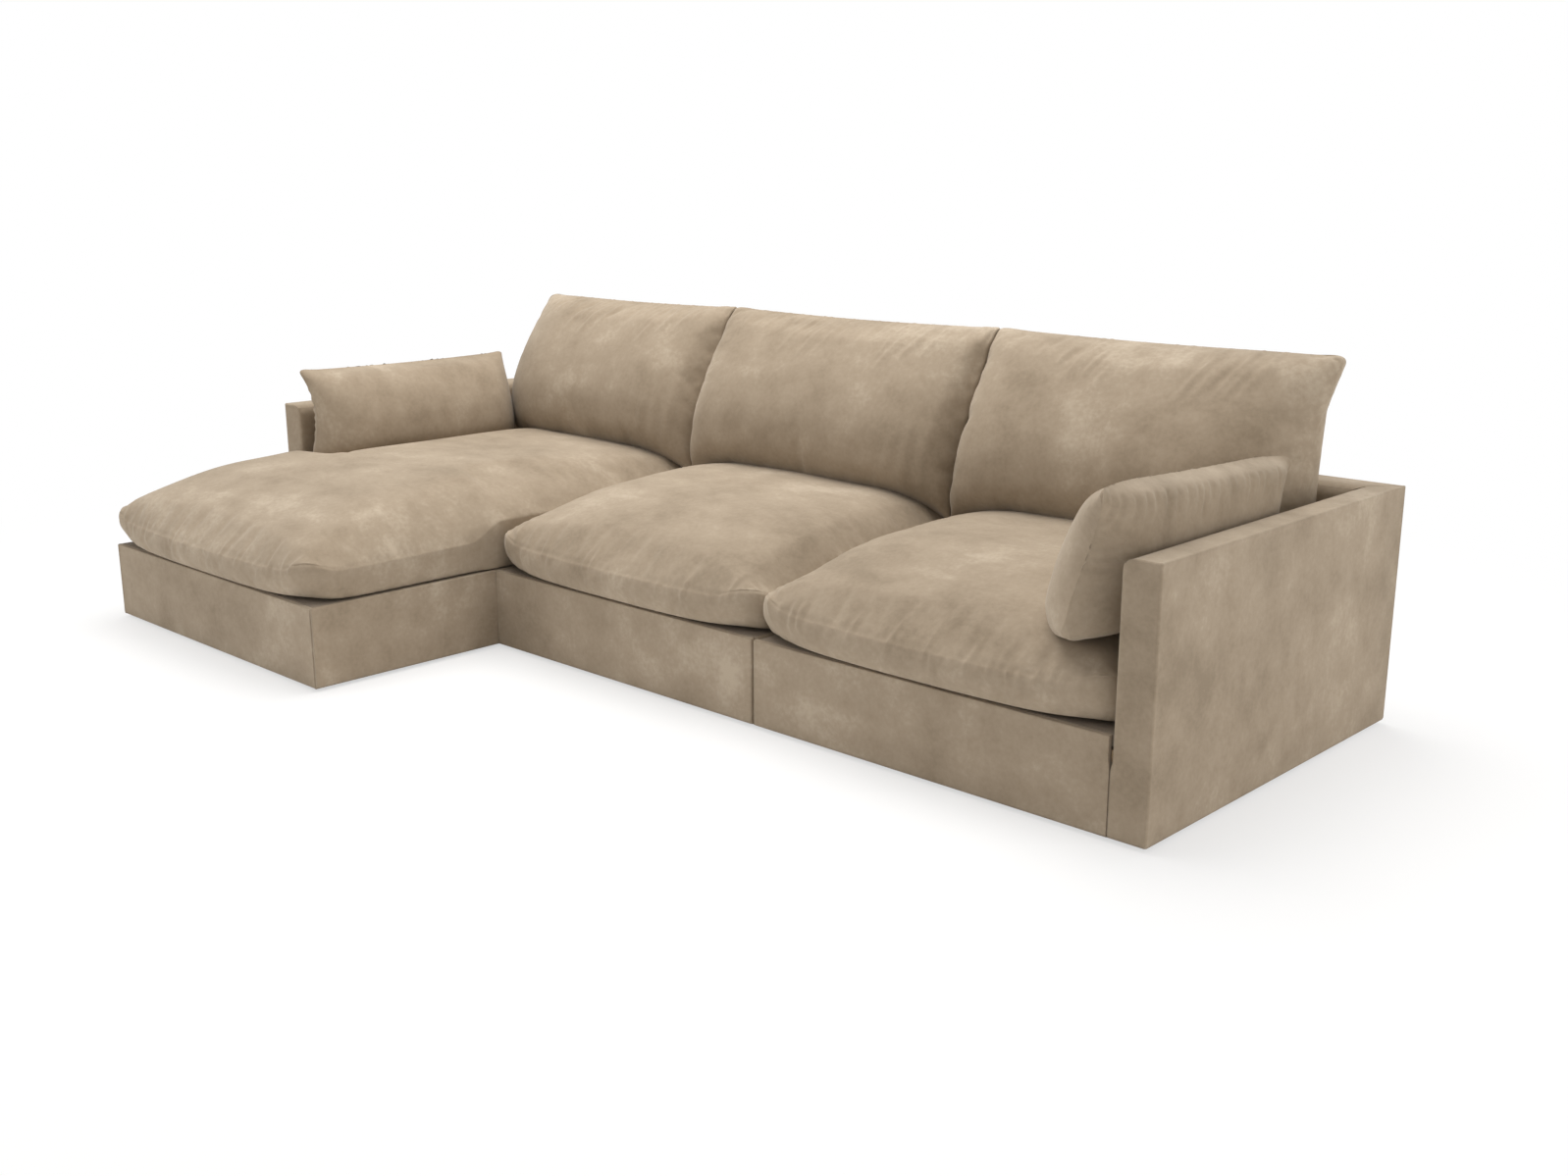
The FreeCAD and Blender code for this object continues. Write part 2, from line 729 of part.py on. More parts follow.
def section(outline, point):
    """Closed wire of lines and shallow arcs. A corner's third value is the bulge after it."""
    edges = []
    for (a0, z0, bulge), (a1, z1, _) in zip(outline, outline[1:] + outline[:1]):
        if bulge:
            length = math.hypot(a1 - a0, z1 - z0)
            middle_a = (a0 + a1) / 2 - (z1 - z0) / length * bulge
            middle_z = (z0 + z1) / 2 + (a1 - a0) / length * bulge
            edges.append(Part.Arc(point(a0, z0), point(middle_a, middle_z), point(a1, z1)).toShape())
        else:
            edges.append(Part.LineSegment(point(a0, z0), point(a1, z1)).toShape())
    return Part.Wire(edges)


def pillow(start, stop, first_end, middle, last_end, point):
    """Loft from one end to the other; point maps (along, across, height) to space."""
    wires = []
    for share in STATIONS:
        full = math.sin(math.pi * share) ** 0.45 if 0 < share < 1 else 0.0
        end = first_end if share < 0.5 else last_end
        outline = [tuple(e + (m - e) * full for e, m in zip(*pair)) for pair in zip(end, middle)]
        along = start + (stop - start) * share
        wires.append(section(outline, lambda across, height: point(along, across, height)))
    return Part.makeLoft(wires, True, True)


def seat_form(module):
    """Boxed seat cushion with a crown that levels out behind its front shoulder."""
    gap = size("cushion_gap")
    deck = size("base_height")
    front = -number(MODULES[module]["depth"]) - size("cushion_overhang")
    back = -size("wall_thickness") - 3
    top_seam = deck + size("boxing_height")
    shoulder = front + size("seat_shoulder")
    left = -size("cushion_overhang") if module == "chaise" else gap
    right = number(MODULES[module]["width"]) - gap
    if module == "end":
        right -= size("wall_thickness")
    middle = (
        (back, deck + 0.5, 0),
        (front + 18, deck + 0.5, 11),
        (front + 5, top_seam, 24),
        (shoulder, deck + 212, 34),
        (back, deck + 160, 0),
    )
    end = (
        (back, deck + 10, 0),
        (front + 44, deck + 12, 12),
        (front + 28, top_seam + 4, 8),
        (shoulder, deck + 124, 22),
        (back, deck + 98, 0),
    )
    form = pillow(left, right, end, middle, end, V)
    if module == "chaise":
        notch = Part.makeBox(
            size("wall_thickness") + gap - left,
            size("module_depth") + 3 + gap,
            deck * 3,
            V(left, -size("module_depth") - 3, 0),
        )
        form = form.cut(notch)
    return form


def core_limits(module):
    """Left, right, front and rear limits of the foam core, clear of the cushion's sides."""
    inset = "Sizes.core_inset"
    left = "%s + %s" % (WALL, inset) if module == "chaise" else inset
    right = "%s - %s" % (MODULES[module]["width"], inset)
    if module == "end":
        right += " - " + WALL
    front = "%s - %s" % (inset, MODULES[module]["depth"])
    return left, right, front, "-%s - %s" % (WALL, inset)


def seat_cushion(module):
    form = seat_form(module)
    left, right, front, back = (number(limit) for limit in core_limits(module))
    low = number(CORE_LEVEL)
    core = Part.makeBox(right - left, back - front, size("core_height"), V(left, front, low))
    feature = doc.addObject("Part::Feature", module + "_seat_cushion")
    feature.Shape = form.cut(core)
    finish_node(feature, module + "_seat_cushion", module)


def seat_core(module):
    """Foam block inside the seat cushion."""
    body = doc.addObject("PartDesign::Body", module + "_seat_core")
    sketch = new_sketch(body, module + "_core_sketch", lift=CORE_LEVEL)
    draw_outline(sketch, rectangle(*core_limits(module)))
    pad(body, sketch, "Sizes.core_height")
    finish_node(body, module + "_seat_core", module)


def back_cushion(module):
    """Knife-edge cushion that leans on the back, thick below and thin at its top seam."""
    gap = size("cushion_gap") + 1
    inset = size("wall_thickness") + size("back_cushion_inset")
    left = inset if module == "chaise" else gap
    right = number(MODULES[module]["width"]) - (inset if module == "end" else gap)
    middle = (
        (-100, 386, 0),
        (-338, 432, 0),
        (-384, 488, 0),
        (-380, 560, 0),
        (-334, 680, 0),
        (-244, 790, 0),
        (-118, 868, 0),
        (-97, 780, 0),
    )
    pressed_end = (
        (-104, 320, 0),
        (-304, 346, 0),
        (-330, 400, 0),
        (-312, 484, 0),
        (-264, 626, 0),
        (-190, 768, 0),
        (-108, 866, 0),
        (-100, 790, 0),
    )
    free_end = (
        (-108, 368, 0),
        (-190, 374, 0),
        (-222, 430, 0),
        (-220, 500, 0),
        (-200, 620, 0),
        (-166, 740, 0),
        (-118, 852, 0),
        (-106, 770, 0),
    )
    first_end = free_end if module == "chaise" else pressed_end
    last_end = free_end if module == "end" else pressed_end
    form = pillow(left, right, first_end, middle, last_end, V)
    insert = insert_form(left + 90, right - 90)
    feature = doc.addObject("Part::Feature", module + "_back_cushion")
    feature.Shape = form.cut(insert)
    finish_node(feature, module + "_back_cushion", module)
    feature = doc.addObject("Part::Feature", module + "_back_cushion_insert")
    feature.Shape = insert
    finish_node(feature, module + "_back_cushion_insert", module)


def insert_form(left, right):
    """Fibre insert of a back cushion: a leaning block between its two ends."""
    outline = ((-128, 470), (-300, 480), (-300, 560), (-145, 780), (-120, 760))
    corners = [V(left, y, z) for y, z in outline + outline[:1]]
    return Part.Face(Part.makePolygon(corners)).extrude(V(right - left, 0, 0))


def arm_cushion(module):
    """Small cushion that leans on the arm. Distances are from the arm's inner face."""
    name = "left_arm_cushion" if module == "chaise" else "right_arm_cushion"
    rear = -312
    front = -size("module_depth") - 18
    middle = (
        (-4, 414, 0),
        (-116, 432, 0),
        (-176, 500, 0),
        (-172, 560, 0),
        (-132, 630, 0),
        (-28, 686, 0),
        (-3, 600, 0),
    )
    end = (
        (-8, 424, 0),
        (-66, 432, 0),
        (-86, 480, 0),
        (-84, 540, 0),
        (-70, 600, 0),
        (-26, 668, 0),
        (-8, 610, 0),
    )
    wall = size("wall_thickness")
    width = number(MODULES[module]["width"])

    def point(along, across, height):
        x = wall - across if module == "chaise" else width - wall + across
        return V(x, along, height)

    form = pillow(rear, front, end, middle, end, point)
    outline = ((-24, 470), (-120, 480), (-112, 540), (-46, 640), (-24, 620))
    corners = [point(rear - 90, across, height) for across, height in outline + outline[:1]]
    insert = Part.Face(Part.makePolygon(corners)).extrude(V(0, front - rear + 180, 0))
    feature = doc.addObject("Part::Feature", name)
    feature.Shape = form.cut(insert)
    finish_node(feature, name, module)
    feature = doc.addObject("Part::Feature", name + "_insert")
    feature.Shape = insert
    finish_node(feature, name + "_insert", module)


# Putting the modules together

for module, span in MODULES.items():
    width = span["width"]
    drilled(base_rails(module), module + "_base_rails", module)
    corner_blocks(module)
    front_panel(module)
    side_panels(module)
    deck_pad(module)
    dust_cover(module)
    glides(module)
    webbing(module)
    back_cover(module)
    back_left = OUTER if module == "chaise" else SIDE
    back_right = "%s - %s" % (width, OUTER if module == "end" else SIDE)
    back_frame = wall_frame(
        module + "_back_boards",
        (back_left, "-" + INNER_FACE),
        (back_right, "-" + OUTER),
        0,
    )
    drilled(back_frame, module + "_back_frame", module)
    if module != "middle":
        arm_cover(module)
        arm_left = OUTER if module == "chaise" else "%s - %s" % (width, INNER_FACE)
        arm_right = INNER_FACE if module == "chaise" else "%s - %s" % (width, OUTER)
        arm_frame = wall_frame(
            module + "_arm_boards",
            (arm_left, "-" + ARM_FRONT),
            (arm_right, "-" + INNER_FACE),
            1,
        )
        drilled(arm_frame, module + "_arm_frame", module)
    frame_bolts(module)
    if module != "end":
        hook_plates(module)
    if module != "chaise":
        socket_plates(module)
    seat_cushion(module)
    seat_core(module)
    back_cushion(module)
    if module != "middle":
        arm_cushion(module)

doc.recompute()

# Nothing is written unless every object is sound

for item in doc.Objects:
    if "Invalid" in item.State or "Error" in item.State:
        raise RuntimeError("%s did not compute: %s" % (item.Name, item.State))
for item in nodes:
    if item.Shape.isNull() or not item.Shape.isValid():
        raise RuntimeError("%s has no sound shape" % item.Label)

os.makedirs("parts", exist_ok=True)
for item in nodes:
    item.Shape.exportStep("parts/%s.step" % item.Label)
print("%d parts written" % len(nodes))
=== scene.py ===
import math

import bpy
import numpy as np
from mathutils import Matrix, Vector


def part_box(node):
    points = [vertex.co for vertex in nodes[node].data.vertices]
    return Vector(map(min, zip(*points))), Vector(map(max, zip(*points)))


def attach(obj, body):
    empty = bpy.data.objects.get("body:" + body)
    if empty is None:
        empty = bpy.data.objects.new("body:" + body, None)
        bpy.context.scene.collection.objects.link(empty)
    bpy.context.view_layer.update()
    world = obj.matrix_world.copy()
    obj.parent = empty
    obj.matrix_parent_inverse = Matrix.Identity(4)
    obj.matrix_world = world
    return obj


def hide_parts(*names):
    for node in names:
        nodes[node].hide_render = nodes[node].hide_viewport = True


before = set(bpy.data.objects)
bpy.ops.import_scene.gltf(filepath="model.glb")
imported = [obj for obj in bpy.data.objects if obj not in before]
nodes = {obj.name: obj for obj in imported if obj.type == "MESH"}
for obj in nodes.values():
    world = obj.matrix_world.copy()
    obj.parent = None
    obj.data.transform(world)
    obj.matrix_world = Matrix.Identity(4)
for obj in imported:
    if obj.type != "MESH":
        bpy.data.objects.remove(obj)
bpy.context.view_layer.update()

MODULES = ("chaise", "middle", "end")


# Timber: base rails, corner blocks, and the frames inside arms and backs.
# Sawn softwood boards, glued, stapled and bolted. They stay as the CAD draws them.


def new_material(name, base, roughness):
    """A material with a Principled shader at the given plain values. Returns it, its tree and the shader."""
    material = bpy.data.materials.new(name)
    material.use_nodes = True
    tree = material.node_tree
    shader = tree.nodes["Principled BSDF"]
    shader.inputs["Base Color"].default_value = (*base, 1)
    shader.inputs["Roughness"].default_value = roughness
    material.diffuse_color = (*base, 1)
    return material, tree, shader


def add_node(tree, kind, **settings):
    """A shader node. Settings named after an input set its value, others set the node's own property."""
    node = tree.nodes.new("ShaderNode" + kind)
    for key, value in settings.items():
        name = key.replace("_", " ")
        if hasattr(node, key):
            setattr(node, key, value)
        else:
            node.inputs[name].default_value = value
    return node


def colour_steps(tree, factor, steps):
    """A colour ramp over a factor, from (place, (r, g, b)) steps."""
    ramp = tree.nodes.new("ShaderNodeValToRGB")
    elements = ramp.color_ramp.elements
    while len(elements) < len(steps):
        elements.new(0.5)
    for element, (place, colour) in zip(elements, steps):
        element.position = place
        element.color = (*colour, 1)
    tree.links.new(factor, ramp.inputs["Fac"])
    return ramp.outputs["Color"]


def bump(tree, shader, height, distance, strength=1.0, below=None):
    """Feeds a height to the shader's normal, over another bump where one is given."""
    node = tree.nodes.new("ShaderNodeBump")
    node.inputs["Strength"].default_value = strength
    node.inputs["Distance"].default_value = distance
    tree.links.new(height, node.inputs["Height"])
    if below is not None:
        tree.links.new(below, node.inputs["Normal"])
    tree.links.new(node.outputs["Normal"], shader.inputs["Normal"])
    return node.outputs["Normal"]


def dress(piece, material):
    """Gives a piece this one material."""
    piece.data.materials.clear()
    piece.data.materials.append(material)


timber, tree, shader = new_material("softwood", (0.55, 0.38, 0.22), 0.7)
where = add_node(tree, "TexCoord").outputs["Object"]
stretch = add_node(tree, "Mapping", Scale=(9, 9, 60))
tree.links.new(where, stretch.inputs["Vector"])
rings = add_node(tree, "TexNoise", Scale=3.0, Detail=6.0, Distortion=1.2)
tree.links.new(stretch.outputs["Vector"], rings.inputs["Vector"])
grain = colour_steps(
    tree,
    rings.outputs["Fac"],
    ((0.3, (0.42, 0.26, 0.13)), (0.5, (0.6, 0.42, 0.24)), (0.7, (0.68, 0.5, 0.31))),
)
tree.links.new(grain, shader.inputs["Base Color"])
bump(tree, shader, rings.outputs["Fac"], 0.0006, 0.5)

for module in MODULES:
    for kind in ("base_rails", "corner_blocks", "back_frame", "arm_frame"):
        node = nodes.get("%s_%s" % (module, kind))
        if node:
            dress(node, timber)


# Webbing: woven elastic belts stapled to the rails, over and under each other.
# Pale fibre with rubber thread, ribbed along its length.


weave = bpy.data.node_groups.new("plain_weave", "ShaderNodeTree")
weave.interface.new_socket("Vector", in_out="INPUT", socket_type="NodeSocketVector")
weave.interface.new_socket("Scale", in_out="INPUT", socket_type="NodeSocketFloat")
weave.interface.new_socket("Height", in_out="OUTPUT", socket_type="NodeSocketFloat")
entry = weave.nodes.new("NodeGroupInput")
result = weave.nodes.new("NodeGroupOutput")
crossed = add_node(weave, "Math", operation="MULTIPLY")
for number, direction in enumerate(("X", "Y")):
    wave = add_node(weave, "TexWave", bands_direction=direction, Distortion=0.4)
    weave.links.new(entry.outputs["Vector"], wave.inputs["Vector"])
    weave.links.new(entry.outputs["Scale"], wave.inputs["Scale"])
    weave.links.new(wave.outputs["Fac"], crossed.inputs[number])
weave.links.new(crossed.outputs["Value"], result.inputs["Height"])


def woven(tree, pitch):
    """Height of a plain weave with its threads a pitch apart, in metres."""
    where = add_node(tree, "TexCoord").outputs["Object"]
    node = tree.nodes.new("ShaderNodeGroup")
    node.node_tree = weave
    node.inputs["Scale"].default_value = 0.314 / pitch
    tree.links.new(where, node.inputs["Vector"])
    return node.outputs["Height"]


elastic, tree, shader = new_material("elastic_webbing", (0.62, 0.58, 0.5), 0.85)
ribs = woven(tree, 0.004)
tree.links.new(
    colour_steps(tree, ribs, ((0.1, (0.45, 0.41, 0.34)), (0.7, (0.7, 0.66, 0.58)))),
    shader.inputs["Base Color"],
)
bump(tree, shader, ribs, 0.001)
for module in MODULES:
    dress(nodes[module + "_webbing"], elastic)


# Steel: bolts of arms and backs, and the plates that hook the modules together.
# Zinc-plated, slightly cloudy, with a soft shine.

steel, tree, shader = new_material("zinc_plate", (0.62, 0.63, 0.64), 0.35)
shader.inputs["Metallic"].default_value = 1.0
where = add_node(tree, "TexCoord").outputs["Object"]
clouds = add_node(tree, "TexNoise", Scale=90.0, Detail=4.0)
tree.links.new(where, clouds.inputs["Vector"])
tree.links.new(
    colour_steps(tree, clouds.outputs["Fac"], ((0.3, (0.28, 0.28, 0.28)), (0.7, (0.45, 0.45, 0.45)))),
    shader.inputs["Roughness"],
)
for module in MODULES:
    for kind in ("frame_bolts", "hook_plates", "socket_plates"):
        node = nodes.get("%s_%s" % (module, kind))
        if node:
            dress(node, steel)


# Glides: low square feet of black moulded plastic, pinned under the rails.
# A fine moulded grain, a little worn where they meet the floor.

plastic, tree, shader = new_material("glide_plastic", (0.03, 0.03, 0.032), 0.5)
where = add_node(tree, "TexCoord").outputs["Object"]
pores = add_node(tree, "TexNoise", Scale=900.0, Detail=2.0)
tree.links.new(where, pores.inputs["Vector"])
bump(tree, shader, pores.outputs["Fac"], 0.0002, 0.4)
height = add_node(tree, "SeparateXYZ")
tree.links.new(where, height.inputs["Vector"])
worn = add_node(tree, "MapRange", From_Min=0.0, From_Max=0.003, To_Min=1.0, To_Max=0.0)
tree.links.new(height.outputs["Z"], worn.inputs["Value"])
tree.links.new(
    colour_steps(tree, worn.outputs["Result"], ((0.0, (0.03, 0.03, 0.032)), (1.0, (0.09, 0.085, 0.08)))),
    shader.inputs["Base Color"],
)
for module in MODULES:
    dress(nodes[module + "_glides"], plastic)


# Dust covers: black spunbond cloth stapled flat under each base.
# A random bonded fibre surface, thin and slightly shiny.

dust_cloth, tree, shader = new_material("spunbond", (0.04, 0.04, 0.042), 0.8)
where = add_node(tree, "TexCoord").outputs["Object"]
fibres = add_node(tree, "TexVoronoi", Scale=420.0)
tree.links.new(where, fibres.inputs["Vector"])
tree.links.new(
    colour_steps(tree, fibres.outputs["Distance"], ((0.0, (0.07, 0.07, 0.07)), (0.7, (0.02, 0.02, 0.02)))),
    shader.inputs["Base Color"],
)
bump(tree, shader, fibres.outputs["Distance"], 0.0005)
for module in MODULES:
    node = nodes[module + "_dust_cover"]
    dress(node, dust_cloth)
    low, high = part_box(node.name)
    across, along = high.x - low.x, high.y - low.y
    if module == "chaise":
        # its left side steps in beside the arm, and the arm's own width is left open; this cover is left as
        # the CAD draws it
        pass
    elif module == "end":
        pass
    else:
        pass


# Deck pads: the padded board under the seat cushions, covered in plain decking cloth.
# Seen only with the cushions off.


def places_of(piece):
    """Where a mesh's points are, as an array of rows."""
    flat = np.zeros(len(piece.data.vertices) * 3)
    piece.data.vertices.foreach_get("co", flat)
    return flat.reshape(-1, 3)


def move_to(piece, places):
    """Puts a mesh's points at these places."""
    piece.data.vertices.foreach_set("co", np.ascontiguousarray(places).ravel())
    piece.data.update()


def block(name, columns, rows, levels):
    """A closed box of quads with its points at the given places on x, y and z.

    A grid is added and raised level by level, then spaced out. Returns the box and each point's
    share of the way along x, y and z.
    """
    bpy.ops.object.select_all(action="DESELECT")
    bpy.ops.mesh.primitive_grid_add(x_subdivisions=len(columns) - 1, y_subdivisions=len(rows) - 1, size=2)
    piece = bpy.context.object
    piece.name = name
    piece.data.name = name
    bpy.ops.object.mode_set(mode="EDIT")
    bpy.ops.mesh.select_all(action="SELECT")
    for _ in range(len(levels) - 1):
        bpy.ops.mesh.extrude_region_move(TRANSFORM_OT_translate={"value": (0, 0, 1)})
    bpy.ops.mesh.select_all(action="SELECT")
    bpy.ops.mesh.normals_make_consistent(inside=False)
    bpy.ops.object.mode_set(mode="OBJECT")
    lattice = places_of(piece)
    lattice[:, 0] = (lattice[:, 0] + 1) / 2
    lattice[:, 1] = (lattice[:, 1] + 1) / 2
    lattice[:, 2] /= len(levels) - 1
    spaced = np.empty_like(lattice)
    for axis, wanted in enumerate((columns, rows, levels)):
        spaced[:, axis] = np.interp(lattice[:, axis], np.linspace(0, 1, len(wanted)), wanted)
    move_to(piece, spaced)
    return piece, spaced


def graded(start, stop, step, fine):
    """Places from start to stop, at the fine distances from both ends and about a step apart between."""
    ends = [d for d in fine if d < (stop - start) / 2 - step / 3]
    steps = round((stop - start - 2 * ends[-1]) / step)
    inner = np.linspace(start + ends[-1], stop - ends[-1], max(2, steps + 1))
    return np.concatenate([[start + d for d in ends[:-1]], inner, [stop - d for d in reversed(ends[:-1])]])


def rounded(first, second, radius):
    """Rounds the corner where two faces meet. Both are distances from a face into the piece."""
    a, b = first - radius, second - radius
    in_corner = (a < 0) & (b < 0)
    reach = np.hypot(a, b)
    square = np.maximum(np.abs(a), np.abs(b))
    scale = np.where(in_corner & (reach > 0), square / np.maximum(reach, 1e-9), 1.0)
    return a * scale + radius, b * scale + radius


def smooth(share):
    """Eased step from 0 to 1."""
    share = np.clip(share, 0, 1)
    return share * share * (3 - 2 * share)


def waves(places, size, seed):
    """Gentle random swells between -1 and 1, about a size apart, the same on every run."""
    rng = np.random.default_rng(seed)
    total = np.zeros(len(places))
    for _ in range(7):
        way = rng.normal(size=3)
        way /= np.linalg.norm(way)
        turns = 2 * math.pi / (size * rng.uniform(0.7, 1.5))
        total += np.sin(places @ way * turns + rng.uniform(0, 6.28))
    return total / 4


def finish_padded(piece, node, body, material):
    """Smooth shading, material and the calls that tie a padded piece to its body."""
    dress(piece, material)
    for polygon in piece.data.polygons:
        polygon.use_smooth = True
    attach(piece, body)
    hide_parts(node)


decking, tree, shader = new_material("decking_cloth", (0.36, 0.3, 0.24), 0.9)
threads = woven(tree, 0.0022)
tree.links.new(
    colour_steps(tree, threads, ((0.1, (0.27, 0.22, 0.17)), (0.7, (0.42, 0.35, 0.28)))),
    shader.inputs["Base Color"],
)
bump(tree, shader, threads, 0.0008)

# Where the chaise's pad steps in beside the arm
PAD_STEP_X = -1.4600
PAD_STEP_Y = -0.2345

for module in MODULES:
    node = module + "_deck_pad"
    low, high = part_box(node)
    fine = (0, 0.002, 0.005, 0.009, 0.014, 0.02)
    piece, at = block(
        node + "_cover",
        graded(low.x, high.x, 0.05, fine),
        graded(low.y, high.y, 0.05, fine),
        graded(low.z, high.z, 0.01, (0, 0.002, 0.005, 0.009)),
    )
    if module == "chaise":
        inward = np.where(at[:, 1] > PAD_STEP_Y, PAD_STEP_X - low.x, 0.0)
        at[:, 0] += inward * (1 - np.clip((at[:, 0] - low.x) / 0.4, 0, 1))
    from_side = np.minimum(at[:, 0] - low.x, high.x - at[:, 0])
    _, from_top = rounded(from_side, high.z - at[:, 2], 0.006)
    at[:, 2] = high.z - from_top
    from_edge = np.minimum(from_side, np.minimum(at[:, 1] - low.y, high.y - at[:, 1]))
    at[:, 2] -= 0.0015 * (1 - smooth(from_edge / 0.06)) * (at[:, 2] > high.z - 0.01)
    move_to(piece, at)
    finish_padded(piece, node, "frame", decking)


# Base panels: boards wrapped in thin padding and velvet, stapled round the rails.
# The fronts show under the seat cushions, and the chaise shows both its sides too.

velvet, tree, shader = new_material("velvet", (0.4, 0.33, 0.26), 0.9)
shader.inputs["Sheen Weight"].default_value = 0.25
shader.inputs["Sheen Roughness"].default_value = 0.5
shader.inputs["Sheen Tint"].default_value = (0.95, 0.9, 0.82, 1)
shader.inputs["Specular IOR Level"].default_value = 0.1
where = add_node(tree, "TexCoord").outputs["Object"]
clouds = add_node(tree, "TexNoise", Scale=3.6, Detail=4.0, Roughness=0.5, Distortion=0.35)
tree.links.new(where, clouds.inputs["Vector"])
brushed = add_node(tree, "Mapping", Rotation=(0.35, 0.5, 0.6), Scale=(1.0, 1.5, 1.2))
tree.links.new(where, brushed.inputs["Vector"])
strokes = add_node(tree, "TexNoise", Scale=12.0, Detail=5.0, Roughness=0.55, Distortion=0.25)
tree.links.new(brushed.outputs["Vector"], strokes.inputs["Vector"])
mixed = add_node(tree, "Mix", data_type="FLOAT")
mixed.inputs[0].default_value = 0.34
tree.links.new(clouds.outputs["Fac"], mixed.inputs[2])
tree.links.new(strokes.outputs["Fac"], mixed.inputs[3])
flecks = add_node(tree, "TexNoise", Scale=85.0, Detail=6.0, Roughness=0.6)
tree.links.new(where, flecks.inputs["Vector"])
speckled = add_node(tree, "Mix", data_type="FLOAT")
speckled.inputs[0].default_value = 0.2
tree.links.new(mixed.outputs[0], speckled.inputs[2])
tree.links.new(flecks.outputs["Fac"], speckled.inputs[3])
nap = colour_steps(
    tree,
    speckled.outputs[0],
    (
        (0.36, (0.258, 0.202, 0.141)),
        (0.46, (0.318, 0.252, 0.181)),
        (0.54, (0.358, 0.287, 0.210)),
        (0.64, (0.447, 0.370, 0.281)),
    ),
)
tree.links.new(nap, shader.inputs["Base Color"])
pile = add_node(tree, "TexNoise", Scale=1100.0, Detail=2.0)
tree.links.new(where, pile.inputs["Vector"])
soft = bump(tree, shader, strokes.outputs["Fac"], 0.003, 0.2)
bump(tree, shader, pile.outputs["Fac"], 0.0005, 0.35, below=soft)

# A hollow cover's padding at its ends, outer face, inner face and top, and how far above its
# foot the inner skin stops
END_PADDING = 0.0225
OUTER_PADDING = 0.0175
INNER_PADDING = 0.0185
TOP_PADDING = 0.022
SKIN_END = 0.198

# Radius along the foot of a cover, and distances from an edge where it has a row of points
FOOT_ROUND = 0.009
EDGE_FINE = (0, 0.001, 0.0022, 0.0038, 0.006, 0.009, 0.013, 0.018, 0.024, 0.031, 0.039, 0.05)


def seam_dip(first, second):
    """How far a seam along the edge of two faces draws the cloth in, with a soft welt beside it."""
    along_edge = np.minimum(first, second) < 1e-6
    distance = np.where(along_edge, np.maximum(first, second), 1.0)
    dip = 0.0019 * np.exp(-((distance / 0.0017) ** 2))
    welt = 0.0005 * np.exp(-(((distance - 0.006) / 0.003) ** 2))
    return dip - welt


def turn_over():
    """Turns over every face of the active piece, the one that was made last."""
    bpy.ops.object.mode_set(mode="EDIT")
    bpy.ops.mesh.select_all(action="SELECT")
    bpy.ops.mesh.flip_normals()
    bpy.ops.object.mode_set(mode="OBJECT")


def face_outwards(piece):
    """Turns over the faces of a closed piece that was made last, if they look inwards."""
    polygons = piece.data.polygons
    count = len(polygons)
    centres, normals, areas = np.zeros(count * 3), np.zeros(count * 3), np.zeros(count)
    polygons.foreach_get("center", centres)
    polygons.foreach_get("normal", normals)
    polygons.foreach_get("area", areas)
    centres = centres.reshape(-1, 3)
    centres = centres - centres.mean(0)
    if ((centres * normals.reshape(-1, 3)).sum(1) * areas).sum() < 0:
        turn_over()


